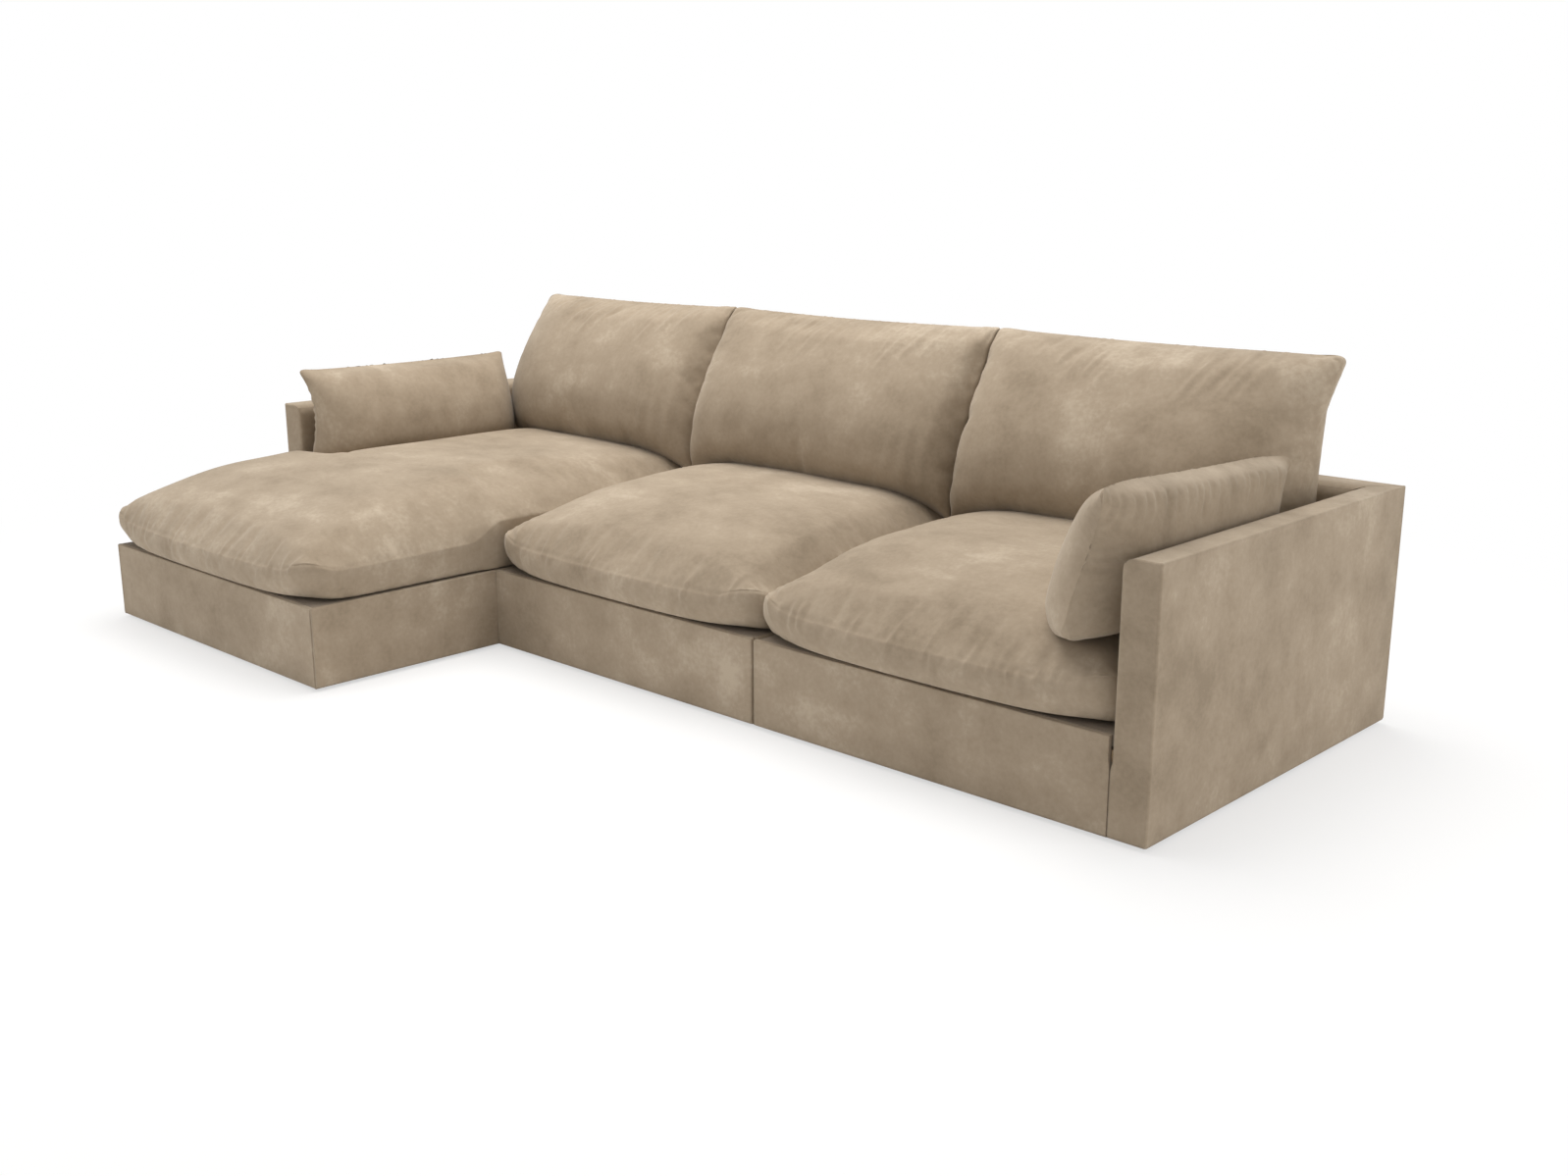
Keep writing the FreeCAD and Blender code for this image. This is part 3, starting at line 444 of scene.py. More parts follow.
def upholster(node, outward, ends, inner_top, outer_top, hollow=False):
    """Velvet and padding over one wall or panel of the frame, in the space of its CAD node.

    outward is the x, y direction of its outer face. ends says how the low and the high end
    finish: seam (a seamed corner mitred to the next panel), joint (rounded, against the next
    module), plain (against another piece), mitre (cut to 45 degrees) or front (the front of an arm).
    A hollow cover is open below, and its inner skin stops at the deck.
    """
    low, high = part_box(node)
    along_x = outward[0] == 0
    size = np.array(high) - np.array(low)
    length, thick, tall = (size[0], size[1], size[2]) if along_x else (size[1], size[0], size[2])
    levels = graded(0, tall, 0.022, EDGE_FINE)
    if hollow:
        levels = np.sort(np.append(levels, SKIN_END))
    piece, at = block(
        node + "_velvet",
        graded(0, length, 0.022, EDGE_FINE),
        graded(0, thick, 0.012, EDGE_FINE),
        levels,
    )
    outer, inner = at[:, 1].copy(), thick - at[:, 1]
    bottom, top = at[:, 2].copy(), tall - at[:, 2]
    gaps = [at[:, 0].copy(), length - at[:, 0]]
    on = {"outer": outer < 1e-6, "inner": inner < 1e-6, "top": top < 1e-6}
    in_place = np.stack([at[:, 0] + low.x, at[:, 1] + low.y, at[:, 2]], 1)
    edge = np.minimum(np.minimum(gaps[0], gaps[1]), np.minimum(top, bottom))
    uneven = 0.0011 * waves(in_place, 0.27, len(node))
    inset = 0.002 - (0.002 * smooth(edge / 0.1) + uneven) * smooth(edge / 0.05)
    dips = {key: np.zeros(len(at)) for key in ("outer", "top", "end")}
    if outer_top <= 0.005:
        dips["outer"] += seam_dip(outer, top)
        dips["top"] += seam_dip(outer, top)
    for gap, kind in zip(gaps, ends):
        if kind in ("seam", "front"):
            dips["outer"] += seam_dip(outer, gap)
            dips["end"] += seam_dip(outer, gap) * (gap < 1e-6)
        if kind == "front":
            fading = 1 - smooth((outer - 0.045) / 0.025)
            dips["top"] += seam_dip(top, gap) * fading * (outer > 1e-6)
            dips["end"] += seam_dip(top, gap) * fading * (gap < 1e-6) * (outer > 1e-6)
    at_end = [gap < 1e-6 for gap in gaps]
    inner, top = rounded(inner, top, inner_top)
    outer, top = rounded(outer, top, outer_top)
    foot_round = min(FOOT_ROUND, thick / 2)
    outer, bottom = rounded(outer, bottom, foot_round)
    end_round = {"seam": 0.0012, "joint": foot_round, "plain": 0.0006, "mitre": 0.003, "front": 0.006}
    moved = []
    for gap, kind, at_this_end in zip(gaps, ends, at_end):
        gap, outer = rounded(gap, outer, end_round[kind])
        gap, top = rounded(gap, top, end_round[kind])
        if kind == "front":
            # rounded above the slit, flush with the front panel below it
            gap, inner = rounded(gap, inner, 0.0006 + 0.0134 * smooth((at[:, 2] - 0.144) / 0.02))
            gap, bottom = rounded(gap, bottom, FOOT_ROUND)
            gap = gap + (inset + dips["end"]) * at_this_end
        if kind == "seam":
            # the side panel runs on past its board to meet the front panel in a mitre
            slope, ahead = (0.625, 0) if along_x else (1.6, 0.016)
            gap = gap + (np.clip(outer, 0, thick) * slope - ahead) * (1 - np.clip(gap / 0.2, 0, 1))
        if kind == "mitre":
            near = 1 - np.clip(gap / 0.2, 0, 1)
            gap = gap + np.clip(outer, 0, thick) * near
        moved.append(gap + {"joint": 0.0019, "mitre": 0.0005}.get(kind, 0.0002))
    outer = outer + (inset + dips["outer"]) * on["outer"]
    inner = inner + inset * on["inner"]
    top = top + (inset + dips["top"]) * on["top"]
    along = np.where(at[:, 0] < length / 2, moved[0], length - moved[1])
    through = np.where(at[:, 1] < thick / 2, outer, thick - inner)
    height = np.where(at[:, 2] < tall / 2, bottom, tall - top)
    if hollow:
        # the underside between the padding goes up to the top, and at the inner skin to its end
        within = np.minimum(at[:, 0], length - at[:, 0]) > END_PADDING
        under = (at[:, 2] < 1e-6) & within & (at[:, 1] > OUTER_PADDING)
        skin = thick - at[:, 1] < INNER_PADDING
        height[under & ~skin] = tall - TOP_PADDING
        height[under & skin] = SKIN_END
        height[within & (thick - at[:, 1] < 1e-6) & (at[:, 2] < SKIN_END)] = SKIN_END
    if along_x:
        y = high.y - through if outward[1] > 0 else low.y + through
        move_to(piece, np.stack([low.x + along, y, low.z + height], 1))
    else:
        x = high.x - through if outward[0] > 0 else low.x + through
        move_to(piece, np.stack([x, low.y + along, low.z + height], 1))
    face_outwards(piece)
    bpy.ops.object.mode_set(mode="EDIT")
    bpy.ops.mesh.select_all(action="SELECT")
    bpy.ops.mesh.remove_doubles(threshold=0.00002)
    bpy.ops.object.mode_set(mode="OBJECT")
    return piece


PANELS = (
    ("chaise_front_panel", (0, -1), ("seam", "seam")),
    ("middle_front_panel", (0, -1), ("plain", "joint")),
    ("end_front_panel", (0, -1), ("joint", "plain")),
    ("chaise_left_panel", (-1, 0), ("seam", "plain")),
    ("chaise_right_panel", (1, 0), ("seam", "plain")),
    ("middle_left_panel", (-1, 0), ("plain", "plain")),
    ("middle_right_panel", (1, 0), ("plain", "plain")),
    ("end_left_panel", (-1, 0), ("plain", "plain")),
)
for node, outward, ends in PANELS:
    piece = upholster(node, outward, ends, 0.003, 0.0065 if "front" in node else 0.0048)
    if node == "end_front_panel":
        # the slit beside the arm, from the deck down
        at = places_of(piece)
        low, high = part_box(node)
        open_part = smooth((at[:, 2] - (high.z - 0.072)) / 0.008) * (1 - smooth((high.x - at[:, 0]) / 0.05))
        at[:, 0] -= 0.0035 * open_part
        move_to(piece, at)
    finish_padded(piece, node, "frame", velvet)


# Arms and backs: padded velvet covers over the timber frames, stapled under the base.
# Plain seams follow their outer top and front edges, and mitre seams join arms and backs.

WALLS = (
    ("chaise_back_cover", (0, 1), ("mitre", "joint")),
    ("middle_back_cover", (0, 1), ("joint", "joint")),
    ("end_back_cover", (0, 1), ("joint", "mitre")),
    ("chaise_arm_cover", (-1, 0), ("front", "mitre")),
    ("end_arm_cover", (1, 0), ("front", "mitre")),
)
for node, outward, ends in WALLS:
    piece = upholster(node, outward, ends, 0.035, 0.0045, hollow=True)
    finish_padded(piece, node, "frame", velvet)


# Seat cushions: boxed velvet covers over foam and fibre, lying loose on the deck.
# Domed tops, an 80 mm boxing with plain seams, and sides pressed against their neighbours.

# Spacing of a cushion's points, and distances from a seam where it has a row of them
CUSHION_STEP = 0.0135
CUSHION_FINE = (0, 0.003, 0.007, 0.013, 0.021, 0.031)


def spread(length, step):
    """Shares of a length where a cushion has its points, closer together at both ends."""
    return graded(0, 1, step / length, [d / length for d in CUSHION_FINE])


def on_rim(u, v):
    """Which points of a block lie on its four side faces."""
    return (u < 1e-6) | (u > 1 - 1e-6) | (v < 1e-6) | (v > 1 - 1e-6)


def between(first, second, share):
    """A share of the way from the first to the second."""
    return first + (second - first) * share


def curve_through(points, at):
    """Smooth curve through (place, value) points."""
    x = np.array([p for p, _ in points], float)
    y = np.array([v for _, v in points], float)
    slope = np.gradient(y, x)
    i = np.clip(np.searchsorted(x, at) - 1, 0, len(x) - 2)
    h = x[i + 1] - x[i]
    t = np.clip((at - x[i]) / h, 0, 1)
    t2, t3 = t * t, t * t * t
    return (
        y[i] * (2 * t3 - 3 * t2 + 1)
        + slope[i] * h * (t3 - 2 * t2 + t)
        + y[i + 1] * (3 * t2 - 2 * t3)
        + slope[i + 1] * h * (t3 - t2)
    )


def swell(distance, reach):
    """Rises from 0 at an edge to 1 at the given reach, steep at first like a quarter ellipse."""
    share = np.clip(distance / reach, 0, 1)
    return np.sqrt(np.clip(1 - (1 - share) ** 2, 0, 1))


def outward_of(x, y, left, right, front, back, radius):
    """Unit direction out of a round-cornered outline, seen from above."""
    dx = x - np.clip(x, left + radius, right - radius)
    dy = y - np.clip(y, front + radius, back - radius)
    length = np.maximum(np.hypot(dx, dy), 1e-9)
    return dx / length, dy / length


def pick(piece):
    """Selects one piece alone and makes it the active one."""
    bpy.ops.object.select_all(action="DESELECT")
    piece.select_set(True)
    bpy.context.view_layer.objects.active = piece


PUFF_FRAMES = 20


def puff(piece, held, cap):
    """Fills a cushion with air: its slack cloth swells, and gathers where it is held.

    No point moves further than cap.
    """
    start = places_of(piece)
    pick(piece)
    group = piece.vertex_groups.new(name="held")
    group.add([int(i) for i in np.nonzero(held)[0]], 1.0, "REPLACE")
    cloth = piece.modifiers.new("cloth", "CLOTH")
    settings = cloth.settings
    settings.quality = 5
    settings.mass = 0.3
    settings.tension_stiffness = 15
    settings.compression_stiffness = 15
    settings.shear_stiffness = 5
    settings.bending_stiffness = 0.5
    settings.use_pressure = True
    settings.uniform_pressure_force = 4.0
    settings.effector_weights.gravity = 0
    settings.shrink_min = -0.02
    settings.vertex_group_mass = "held"
    cloth.point_cache.frame_end = PUFF_FRAMES
    for number in range(1, PUFF_FRAMES + 1):
        bpy.context.scene.frame_set(number)
    bpy.ops.object.modifier_apply(modifier=cloth.name)
    bpy.context.scene.frame_set(1)
    piece.vertex_groups.clear()
    moved = places_of(piece) - start
    length = np.maximum(np.linalg.norm(moved, axis=1, keepdims=True), 1e-9)
    move_to(piece, start + moved * np.minimum(1, cap / length))


def finer(piece):
    """One applied round of subdivision."""
    pick(piece)
    modifier = piece.modifiers.new("finer", "SUBSURF")
    modifier.levels = 1
    modifier.render_levels = 1
    bpy.ops.object.modifier_apply(modifier=modifier.name)


FOLD_WIDTH = 0.0075


def folds(piece, plane, facing, lines):
    """Soft ridges in the cloth that faces one way, each with a shallow hollow on both its sides.

    A line is (start, end, width, height), its ends given on the two axes of the plane.
    """
    at = places_of(piece)
    normals = np.zeros(len(at) * 3)
    piece.data.vertex_normals.foreach_get("vector", normals)
    normals = normals.reshape(-1, 3)
    flat = at[:, list(plane)]
    push = np.zeros(len(at))
    for start, stop, width, height in lines:
        start = np.array(start)
        way = np.array(stop) - start
        share = np.clip((flat - start) @ way / (way @ way), 0, 1)
        gap = np.linalg.norm(flat - start - share[:, None] * way, axis=1) / width
        ridge = 1.3 * np.exp(-(gap**2)) - 0.45 * np.exp(-((gap / 2) ** 2))
        push += height * ridge * np.sin(math.pi * np.clip(share, 0.02, 0.98)) ** 0.7
    push *= smooth((normals @ np.array(facing) - 0.05) / 0.45)
    move_to(piece, at + normals * push[:, None])


# Inner face and front of the left arm, where the chaise cushion steps in
ARM_INNER = -1.4590
ARM_FRONT_Y = -0.2420
CORNER = 0.100

for module in MODULES:
    node = module + "_seat_cushion"
    low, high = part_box(node)
    left, right = low.x + 0.0006, high.x - 0.0006
    front, back = low.y + 0.003, high.y - 0.001
    if module == "chaise":
        left = low.x + 0.006
    piece, at = block(
        node + "_velvet",
        spread(right - left, CUSHION_STEP),
        spread(back - front, CUSHION_STEP),
        graded(0, 1, 0.15, (0, 0.04, 0.1, 0.2)),
    )
    u, v, t = at[:, 0], at[:, 1], at[:, 2]
    upper = t > 0.999
    lower = t < 0.001
    rim = on_rim(u, v)
    y0 = front + (back - front) * v
    edge_left = np.full(len(u), left)
    if module == "chaise":
        edge_left = left + (ARM_INNER - left) * smooth((y0 - (ARM_FRONT_Y - 0.002)) / 0.034 + 0.5)
    x0 = edge_left + (right - edge_left) * u
    from_left, from_right, from_front = x0 - edge_left, right - x0, y0 - front
    a, b = rounded(from_left, from_front, CORNER)
    x1, y1 = edge_left + a, front + b
    a, b = rounded(from_right, from_front, CORNER)
    right_half = from_right < from_left
    x1 = np.where(right_half, right - a, x1)
    y1 = np.where(right_half, front + b, y1)
    sides = np.minimum(right - x1, x1 - edge_left)
    d, e = y1 - front, back - y1
    bow = 0.016 * (1 - smooth(sides / 0.42)) * np.exp(-d / 0.12)
    tip = np.exp(-((sides / 0.09) ** 2 + (d / 0.09) ** 2))

    # The top: a steep start at the seams, then a long easy crown
    left_swell = swell(x1 - edge_left, 0.22 if module == "chaise" else 0.27)
    full = np.minimum(left_swell, swell(right - x1, 0.25))
    full = 0.93 * full + 0.07 * smooth(sides / 0.45)
    full = full ** (1 + 0.35 * np.exp(-d / 0.16))
    rise = 0.30 * swell(d, 0.06)
    rise += 0.70 * curve_through(((0, 0), (0.05, 0.12), (0.14, 0.42), (0.3, 0.85), (0.48, 1), (2, 1)), d)
    drop = curve_through(((0, 1), (0.16, 0.4), (0.33, 0.06), (0.45, 0), (2, 0)), e)
    middle_z = 0.300 + 0.140 * rise - 0.064 * drop
    side_z = 0.302 + 0.050 * smooth(d / 0.6) - 0.034 * drop
    if module == "chaise":
        free_right = 1 - smooth((y1 + 0.32) / 0.12)
        free_left = 1 - smooth((y1 + 0.30) / 0.12)
        side_z = side_z - np.where(right_half, free_right, free_left) * 0.045 * smooth(d / 0.6)
    top_z = between(side_z, middle_z, full) + 0.010 * tip
    swells = waves(np.stack([x1, y1, 0 * x1], 1), 0.42, 41 + len(module))
    top_z += 0.004 * swells * smooth(sides / 0.15) * smooth(d / 0.1)

    # Where an arm cushion stands, its weight presses the seat down
    if module != "middle":
        from_arm = right - x1 if module == "end" else x1 - ARM_INNER
        rest = 0.410 if module == "chaise" else 0.352 + 0.050 * smooth((y1 + 0.24) / 0.3)
        under = smooth((0.27 - from_arm) / 0.09) * smooth((0.58 - y1) / 0.1) * smooth((y1 + 0.30) / 0.05)
        top_z -= under * np.maximum(0, top_z - rest)

    # The underside draws in and lifts towards the front corners
    tuck = 0.010 + 0.020 * (1 - smooth(sides / 0.24))
    base_y = y1 + tuck * np.exp(-d / 0.06)
    base_z = low.z + 0.0006 + 0.013 * tip + 0.006 * np.exp(-((d / 0.025) ** 2))
    free_side = np.zeros(len(u))
    if module == "chaise":
        free_side = np.where(right_half, free_right, free_left)
    inwards = np.where(right_half, -1.0, 1.0) * np.exp(-sides / 0.05)
    base_x = x1 + inwards * 0.010 * free_side * (1 + tip)
    ox, oy = outward_of(x0, y0, edge_left, right, front, back, CORNER)
    pressed = (np.abs(ox) > 0.7) * smooth((d - 0.05) / 0.06) * (1 - free_side)
    bulge = 0.012 * np.sin(math.pi * t) * (1 - pressed) * (oy < 0.5)
    x = between(base_x, x1, t) + ox * bulge
    y = base_y + (y1 + bow - base_y) * t + bow * (1 - t) + np.minimum(oy, 0) * bulge
    z = between(base_z, top_z, t)
    move_to(piece, np.stack([x, y, z], 1))
    seam_rows = (upper | lower) & rim
    puff(piece, lower | seam_rows, 0.014)
    at = places_of(piece)
    at[seam_rows, 0] -= 0.0035 * (ox * (1 - pressed))[seam_rows]
    at[seam_rows, 1] -= 0.0035 * np.minimum(oy, 0)[seam_rows]
    at[:, 0] = np.clip(at[:, 0], left, right)
    if module == "chaise":
        clear = np.maximum(at[:, 0], np.minimum(ARM_INNER, at[:, 0] + 0.01))
        at[:, 0] = np.where(at[:, 1] > ARM_FRONT_Y, clear, at[:, 0])
    at[:, 1] = np.minimum(at[:, 1], back)
    at[:, 2] = np.maximum(at[:, 2], low.z + 0.0004)
    move_to(piece, at)
    finer(piece)

    # Gathers over the front seam, closest together at the corners
    rng = np.random.default_rng(11 + len(module))
    gathers = []
    place = left + 0.05
    while place < right - 0.05:
        from_end = min(place - left, right - place)
        if rng.random() < 0.35 + 0.55 * math.exp(-from_end / 0.22):
            lean = rng.normal(0, 0.012)
            foot = 0.262 + rng.random() * 0.02
            length = rng.uniform(0.05, 0.10)
            start, stop = (place, foot), (place + lean, foot + length)
            gathers.append((start, stop, FOLD_WIDTH, rng.uniform(0.002, 0.005)))
        place += rng.uniform(0.017, 0.036)
    folds(piece, (0, 2), (0, -0.9, 0.45), gathers)
    if module != "chaise":
        # a small star of creases where this corner presses on its neighbour
        centre = np.array((left + 0.015, front + 0.085))
        star = []
        for angle in (-35, -8, 18, 44, 70):
            way = np.array((math.cos(math.radians(angle)), math.sin(math.radians(angle))))
            far = centre + way * rng.uniform(0.07, 0.12)
            star.append((tuple(centre + way * 0.012), tuple(far), FOLD_WIDTH, rng.uniform(0.002, 0.0035)))
        folds(piece, (0, 1), (-0.2, -0.2, 0.95), star)
    at = places_of(piece)
    at[:, 2] = np.maximum(at[:, 2], low.z + 0.0004)
    move_to(piece, at)
    finish_padded(piece, node, module + "_seat", velvet)


# Foam cores and fibre inserts inside the cushions.
# Cut foam with open cells, and polyester fibre in a plain sheath.

foam, tree, shader = new_material("seat_foam", (0.75, 0.68, 0.5), 0.95)
where = add_node(tree, "TexCoord").outputs["Object"]
cells = add_node(tree, "TexVoronoi", Scale=600.0)
tree.links.new(where, cells.inputs["Vector"])
tree.links.new(
    colour_steps(tree, cells.outputs["Distance"], ((0.0, (0.5, 0.43, 0.28)), (0.6, (0.82, 0.75, 0.56)))),
    shader.inputs["Base Color"],
)
bump(tree, shader, cells.outputs["Distance"], 0.001)
fibre, tree, shader = new_material("fibre_sheath", (0.85, 0.85, 0.83), 0.9)
where = add_node(tree, "TexCoord").outputs["Object"]
tufts = add_node(tree, "TexNoise", Scale=160.0, Detail=5.0)
tree.links.new(where, tufts.inputs["Vector"])
tree.links.new(
    colour_steps(tree, tufts.outputs["Fac"], ((0.3, (0.72, 0.72, 0.7)), (0.7, (0.9, 0.9, 0.88)))),
    shader.inputs["Base Color"],
)
bump(tree, shader, tufts.outputs["Fac"], 0.001)
for module in MODULES:
    dress(nodes[module + "_seat_core"], foam)
    dress(nodes[module + "_back_cushion_insert"], fibre)
for side in ("left", "right"):
    dress(nodes[side + "_arm_cushion_insert"], fibre)


# Back cushions: knife-edge covers filled with fibre, leaning on the backs.
# Soft ears at their top corners, pulls below the top seam, sides pressed together.

# Sections from the bottom seam up: share of the way, depth from the sofa's rear, height over the glides.
# The front at the middle of a cushion, at a side pressed by a neighbour and at a free side, then the back.
MIDDLE_FRONT = (
    (0.0, -0.215, 0.392), (0.08, -0.310, 0.404), (0.2, -0.370, 0.470), (0.33, -0.378, 0.560),
    (0.55, -0.334, 0.680), (0.76, -0.250, 0.790), (0.90, -0.182, 0.856), (0.96, -0.150, 0.874),
    (1.0, -0.116, 0.871),
)
PRESSED_FRONT = (
    (0.0, -0.200, 0.335), (0.08, -0.296, 0.346), (0.2, -0.325, 0.410), (0.33, -0.312, 0.490),
    (0.55, -0.262, 0.640), (0.76, -0.200, 0.768), (0.90, -0.156, 0.844), (0.96, -0.132, 0.866),
    (1.0, -0.110, 0.868),
)
FREE_FRONT = (
    (0.0, -0.150, 0.372), (0.08, -0.196, 0.380), (0.2, -0.214, 0.436), (0.33, -0.212, 0.510),
    (0.55, -0.190, 0.640), (0.78, -0.156, 0.760), (0.92, -0.130, 0.836), (1.0, -0.116, 0.862),
)
BACK_LINE = (
    (0.0, -0.200, 0.388), (0.08, -0.112, 0.392), (0.2, -0.102, 0.460), (0.33, -0.100, 0.560),
    (0.55, -0.099, 0.680), (0.78, -0.098, 0.790), (0.92, -0.101, 0.845), (1.0, -0.116, 0.868),
)
REAR = 0.8325
GLIDE = 0.008
BACK_LENGTH = 0.62  # along the cloth, from the bottom seam to the top seam


def profile(points, v):
    """Depth and height up a cushion, in metres in the whole sofa's frame."""
    y = curve_through([(p[0], p[1]) for p in points], v) + REAR
    z = curve_through([(p[0], p[2]) for p in points], v) + GLIDE
    return y, z


for module in MODULES:
    node = module + "_back_cushion"
    low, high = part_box(node)
    left, right = low.x + 0.0006, high.x - 0.0006
    piece, at = block(
        node + "_velvet",
        spread(right - left, CUSHION_STEP),
        spread(BACK_LENGTH, CUSHION_STEP),
        graded(0, 1, 0.17, (0, 0.07)),
    )
    u, v, t = at[:, 0], at[:, 1], at[:, 2]
    rim = on_rim(u, v)
    x = left + (right - left) * u
    on_left = x - left < right - x
    free_side = np.where(on_left, module == "chaise", module == "end")
    ear_radius = np.where(free_side, 0.045, 0.030)
    sides, from_top = rounded(np.minimum(x - left, right - x), (1 - v) * BACK_LENGTH, ear_radius)
    sides, from_base = rounded(sides, BACK_LENGTH - from_top, 0.045)
    v = from_base / BACK_LENGTH
    x = np.where(on_left, left + sides, right - sides)
    full = swell(sides, np.where(free_side, 0.30, 0.21))
    mid_y, mid_z = profile(MIDDLE_FRONT, v)
    pressed_y, pressed_z = profile(PRESSED_FRONT, v)
    free_y, free_z = profile(FREE_FRONT, v)
    side_y = np.where(free_side, free_y, pressed_y)
    side_z = np.where(free_side, free_z, pressed_z)
    front_y = between(side_y, mid_y, full)
    front_z = between(side_z, mid_z, full)
    line_y, line_z = profile(BACK_LINE, v)
    lowered = (mid_z - side_z) * (1 - full) * (1 - smooth(v / 0.5))
    back_y = line_y - np.where(free_side, (line_y - free_y) * 0.45, 0.0) * (1 - full)
    y = between(back_y, front_y, t)
    z = line_z - lowered + (front_z - line_z + lowered) * t

    # The free side of the end cushion draws in below its ear, that of the chaise cushion above its belly
    drawn_in = 0.045 * smooth(v) if module == "chaise" else np.minimum(0.11 * (1 - v), 0.035)
    pull = np.where(free_side, drawn_in, 0.0) * (1 - smooth(sides / 0.3))
    x = np.where(on_left, x + pull, x - pull)
    ear = np.exp(-((sides / 0.05) ** 2 + (from_top / 0.05) ** 2))
    z = z + 0.004 * ear - 0.007 * np.sin(math.pi * u) * smooth((v - 0.85) / 0.15)
    move_to(piece, np.stack([x, y, z], 1))
    held = (t < 0.001) | (rim & (np.abs(t - 1) < 1e-6))
    puff(piece, held, 0.012)
    at = places_of(piece)
    at[:, 0] = np.clip(at[:, 0], left, right)
    at[:, 1] = np.minimum(at[:, 1], high.y)
    move_to(piece, at)
    finer(piece)

    # Slanting pulls below the top seam, and soft hanging folds lower down
    rng = np.random.default_rng(23 + len(module))
    pulls = []
    for share in (0.37, 0.7):
        start = left + (right - left) * (share + rng.normal(0, 0.03))
        for number in range(6):
            top = start + 0.027 * number + rng.normal(0, 0.006)
            length = rng.uniform(0.05, 0.115)
            stop = (top - 0.45 * length, 0.862 - length)
            pulls.append(((top, 0.862), stop, 0.009, rng.uniform(0.002, 0.0045)))
    for number in range(3):
        place = right - 0.07 - 0.05 * number
        pulls.append(((place, 0.44 + 0.03 * number), (place + 0.02, 0.70 - 0.04 * number), 0.018, 0.004))
    place = left + 0.04
    while place < right - 0.04:
        stop = (place + rng.normal(0, 0.008), 0.835)
        pulls.append(((place, 0.880), stop, FOLD_WIDTH, rng.uniform(0, 0.0035)))
        place += rng.uniform(0.02, 0.05)
    if module == "end":
        for number in range(8):
            height = 0.50 + 0.042 * number + rng.normal(0, 0.006)
            reach = rng.uniform(0.05, 0.09)
            start = right - 0.115 + 0.12 * (height - 0.5) / 0.36
            stop = (start + 0.05 - reach, height - 0.015)
            pulls.append(((start + 0.05, height), stop, FOLD_WIDTH, 0.0028))
    folds(piece, (0, 2), (0, -0.9, 0.35), pulls)
    at = places_of(piece)
    at[:, 0] = np.clip(at[:, 0], left, right)
    move_to(piece, at)
    finish_padded(piece, node, module + "_back_pillow", velvet)


# Arm cushions: small knife-edge cushions that stand on the seats and lean on the arms.
# The right one sags over the slope of its seat. Pointed ears on top, gathers at the ends.

# Sections from the bottom seam up: share of the way, distance from the arm, height over the glides
LEFT_SHAPE = {
    "face": (
        (0.0, 0.070, 0.408), (0.1, 0.150, 0.406), (0.25, 0.200, 0.450), (0.42, 0.200, 0.525),
        (0.62, 0.166, 0.602), (0.82, 0.108, 0.658), (1.0, 0.040, 0.684),
    ),
    "back": (
        (0.0, 0.070, 0.408), (0.1, 0.014, 0.418), (0.25, 0.004, 0.470), (0.42, 0.003, 0.540),
        (0.62, 0.003, 0.600), (0.82, 0.009, 0.652), (1.0, 0.040, 0.684),
    ),
    "edge": (
        (0.0, 0.074, 0.414), (0.1, 0.078, 0.428), (0.25, 0.084, 0.474), (0.42, 0.082, 0.532),
        (0.62, 0.070, 0.596), (0.82, 0.050, 0.648), (1.0, 0.032, 0.682),
    ),
}
RIGHT_SHAPE = {
    "face": (
        (0.0, 0.108, 0.366), (0.1, 0.186, 0.356), (0.25, 0.233, 0.404), (0.42, 0.222, 0.490),
        (0.62, 0.188, 0.582), (0.82, 0.136, 0.662), (1.0, 0.062, 0.702),
    ),
    "back": (
        (0.0, 0.108, 0.366), (0.1, 0.034, 0.386), (0.25, 0.005, 0.440), (0.42, 0.003, 0.520),
        (0.62, 0.003, 0.600), (0.82, 0.014, 0.672), (1.0, 0.062, 0.702),
    ),
    "edge": (
        (0.0, 0.110, 0.400), (0.1, 0.110, 0.424), (0.25, 0.104, 0.474), (0.42, 0.088, 0.528),
        (0.62, 0.068, 0.584), (0.82, 0.048, 0.640), (1.0, 0.032, 0.680),
    ),
}

RIGHT_ARM_INNER = 1.4855
ARM_CUSHION_LENGTH = 0.36  # along the cloth, from the bottom seam to the top seam
ARM_CUSHION_STEP = 0.0105

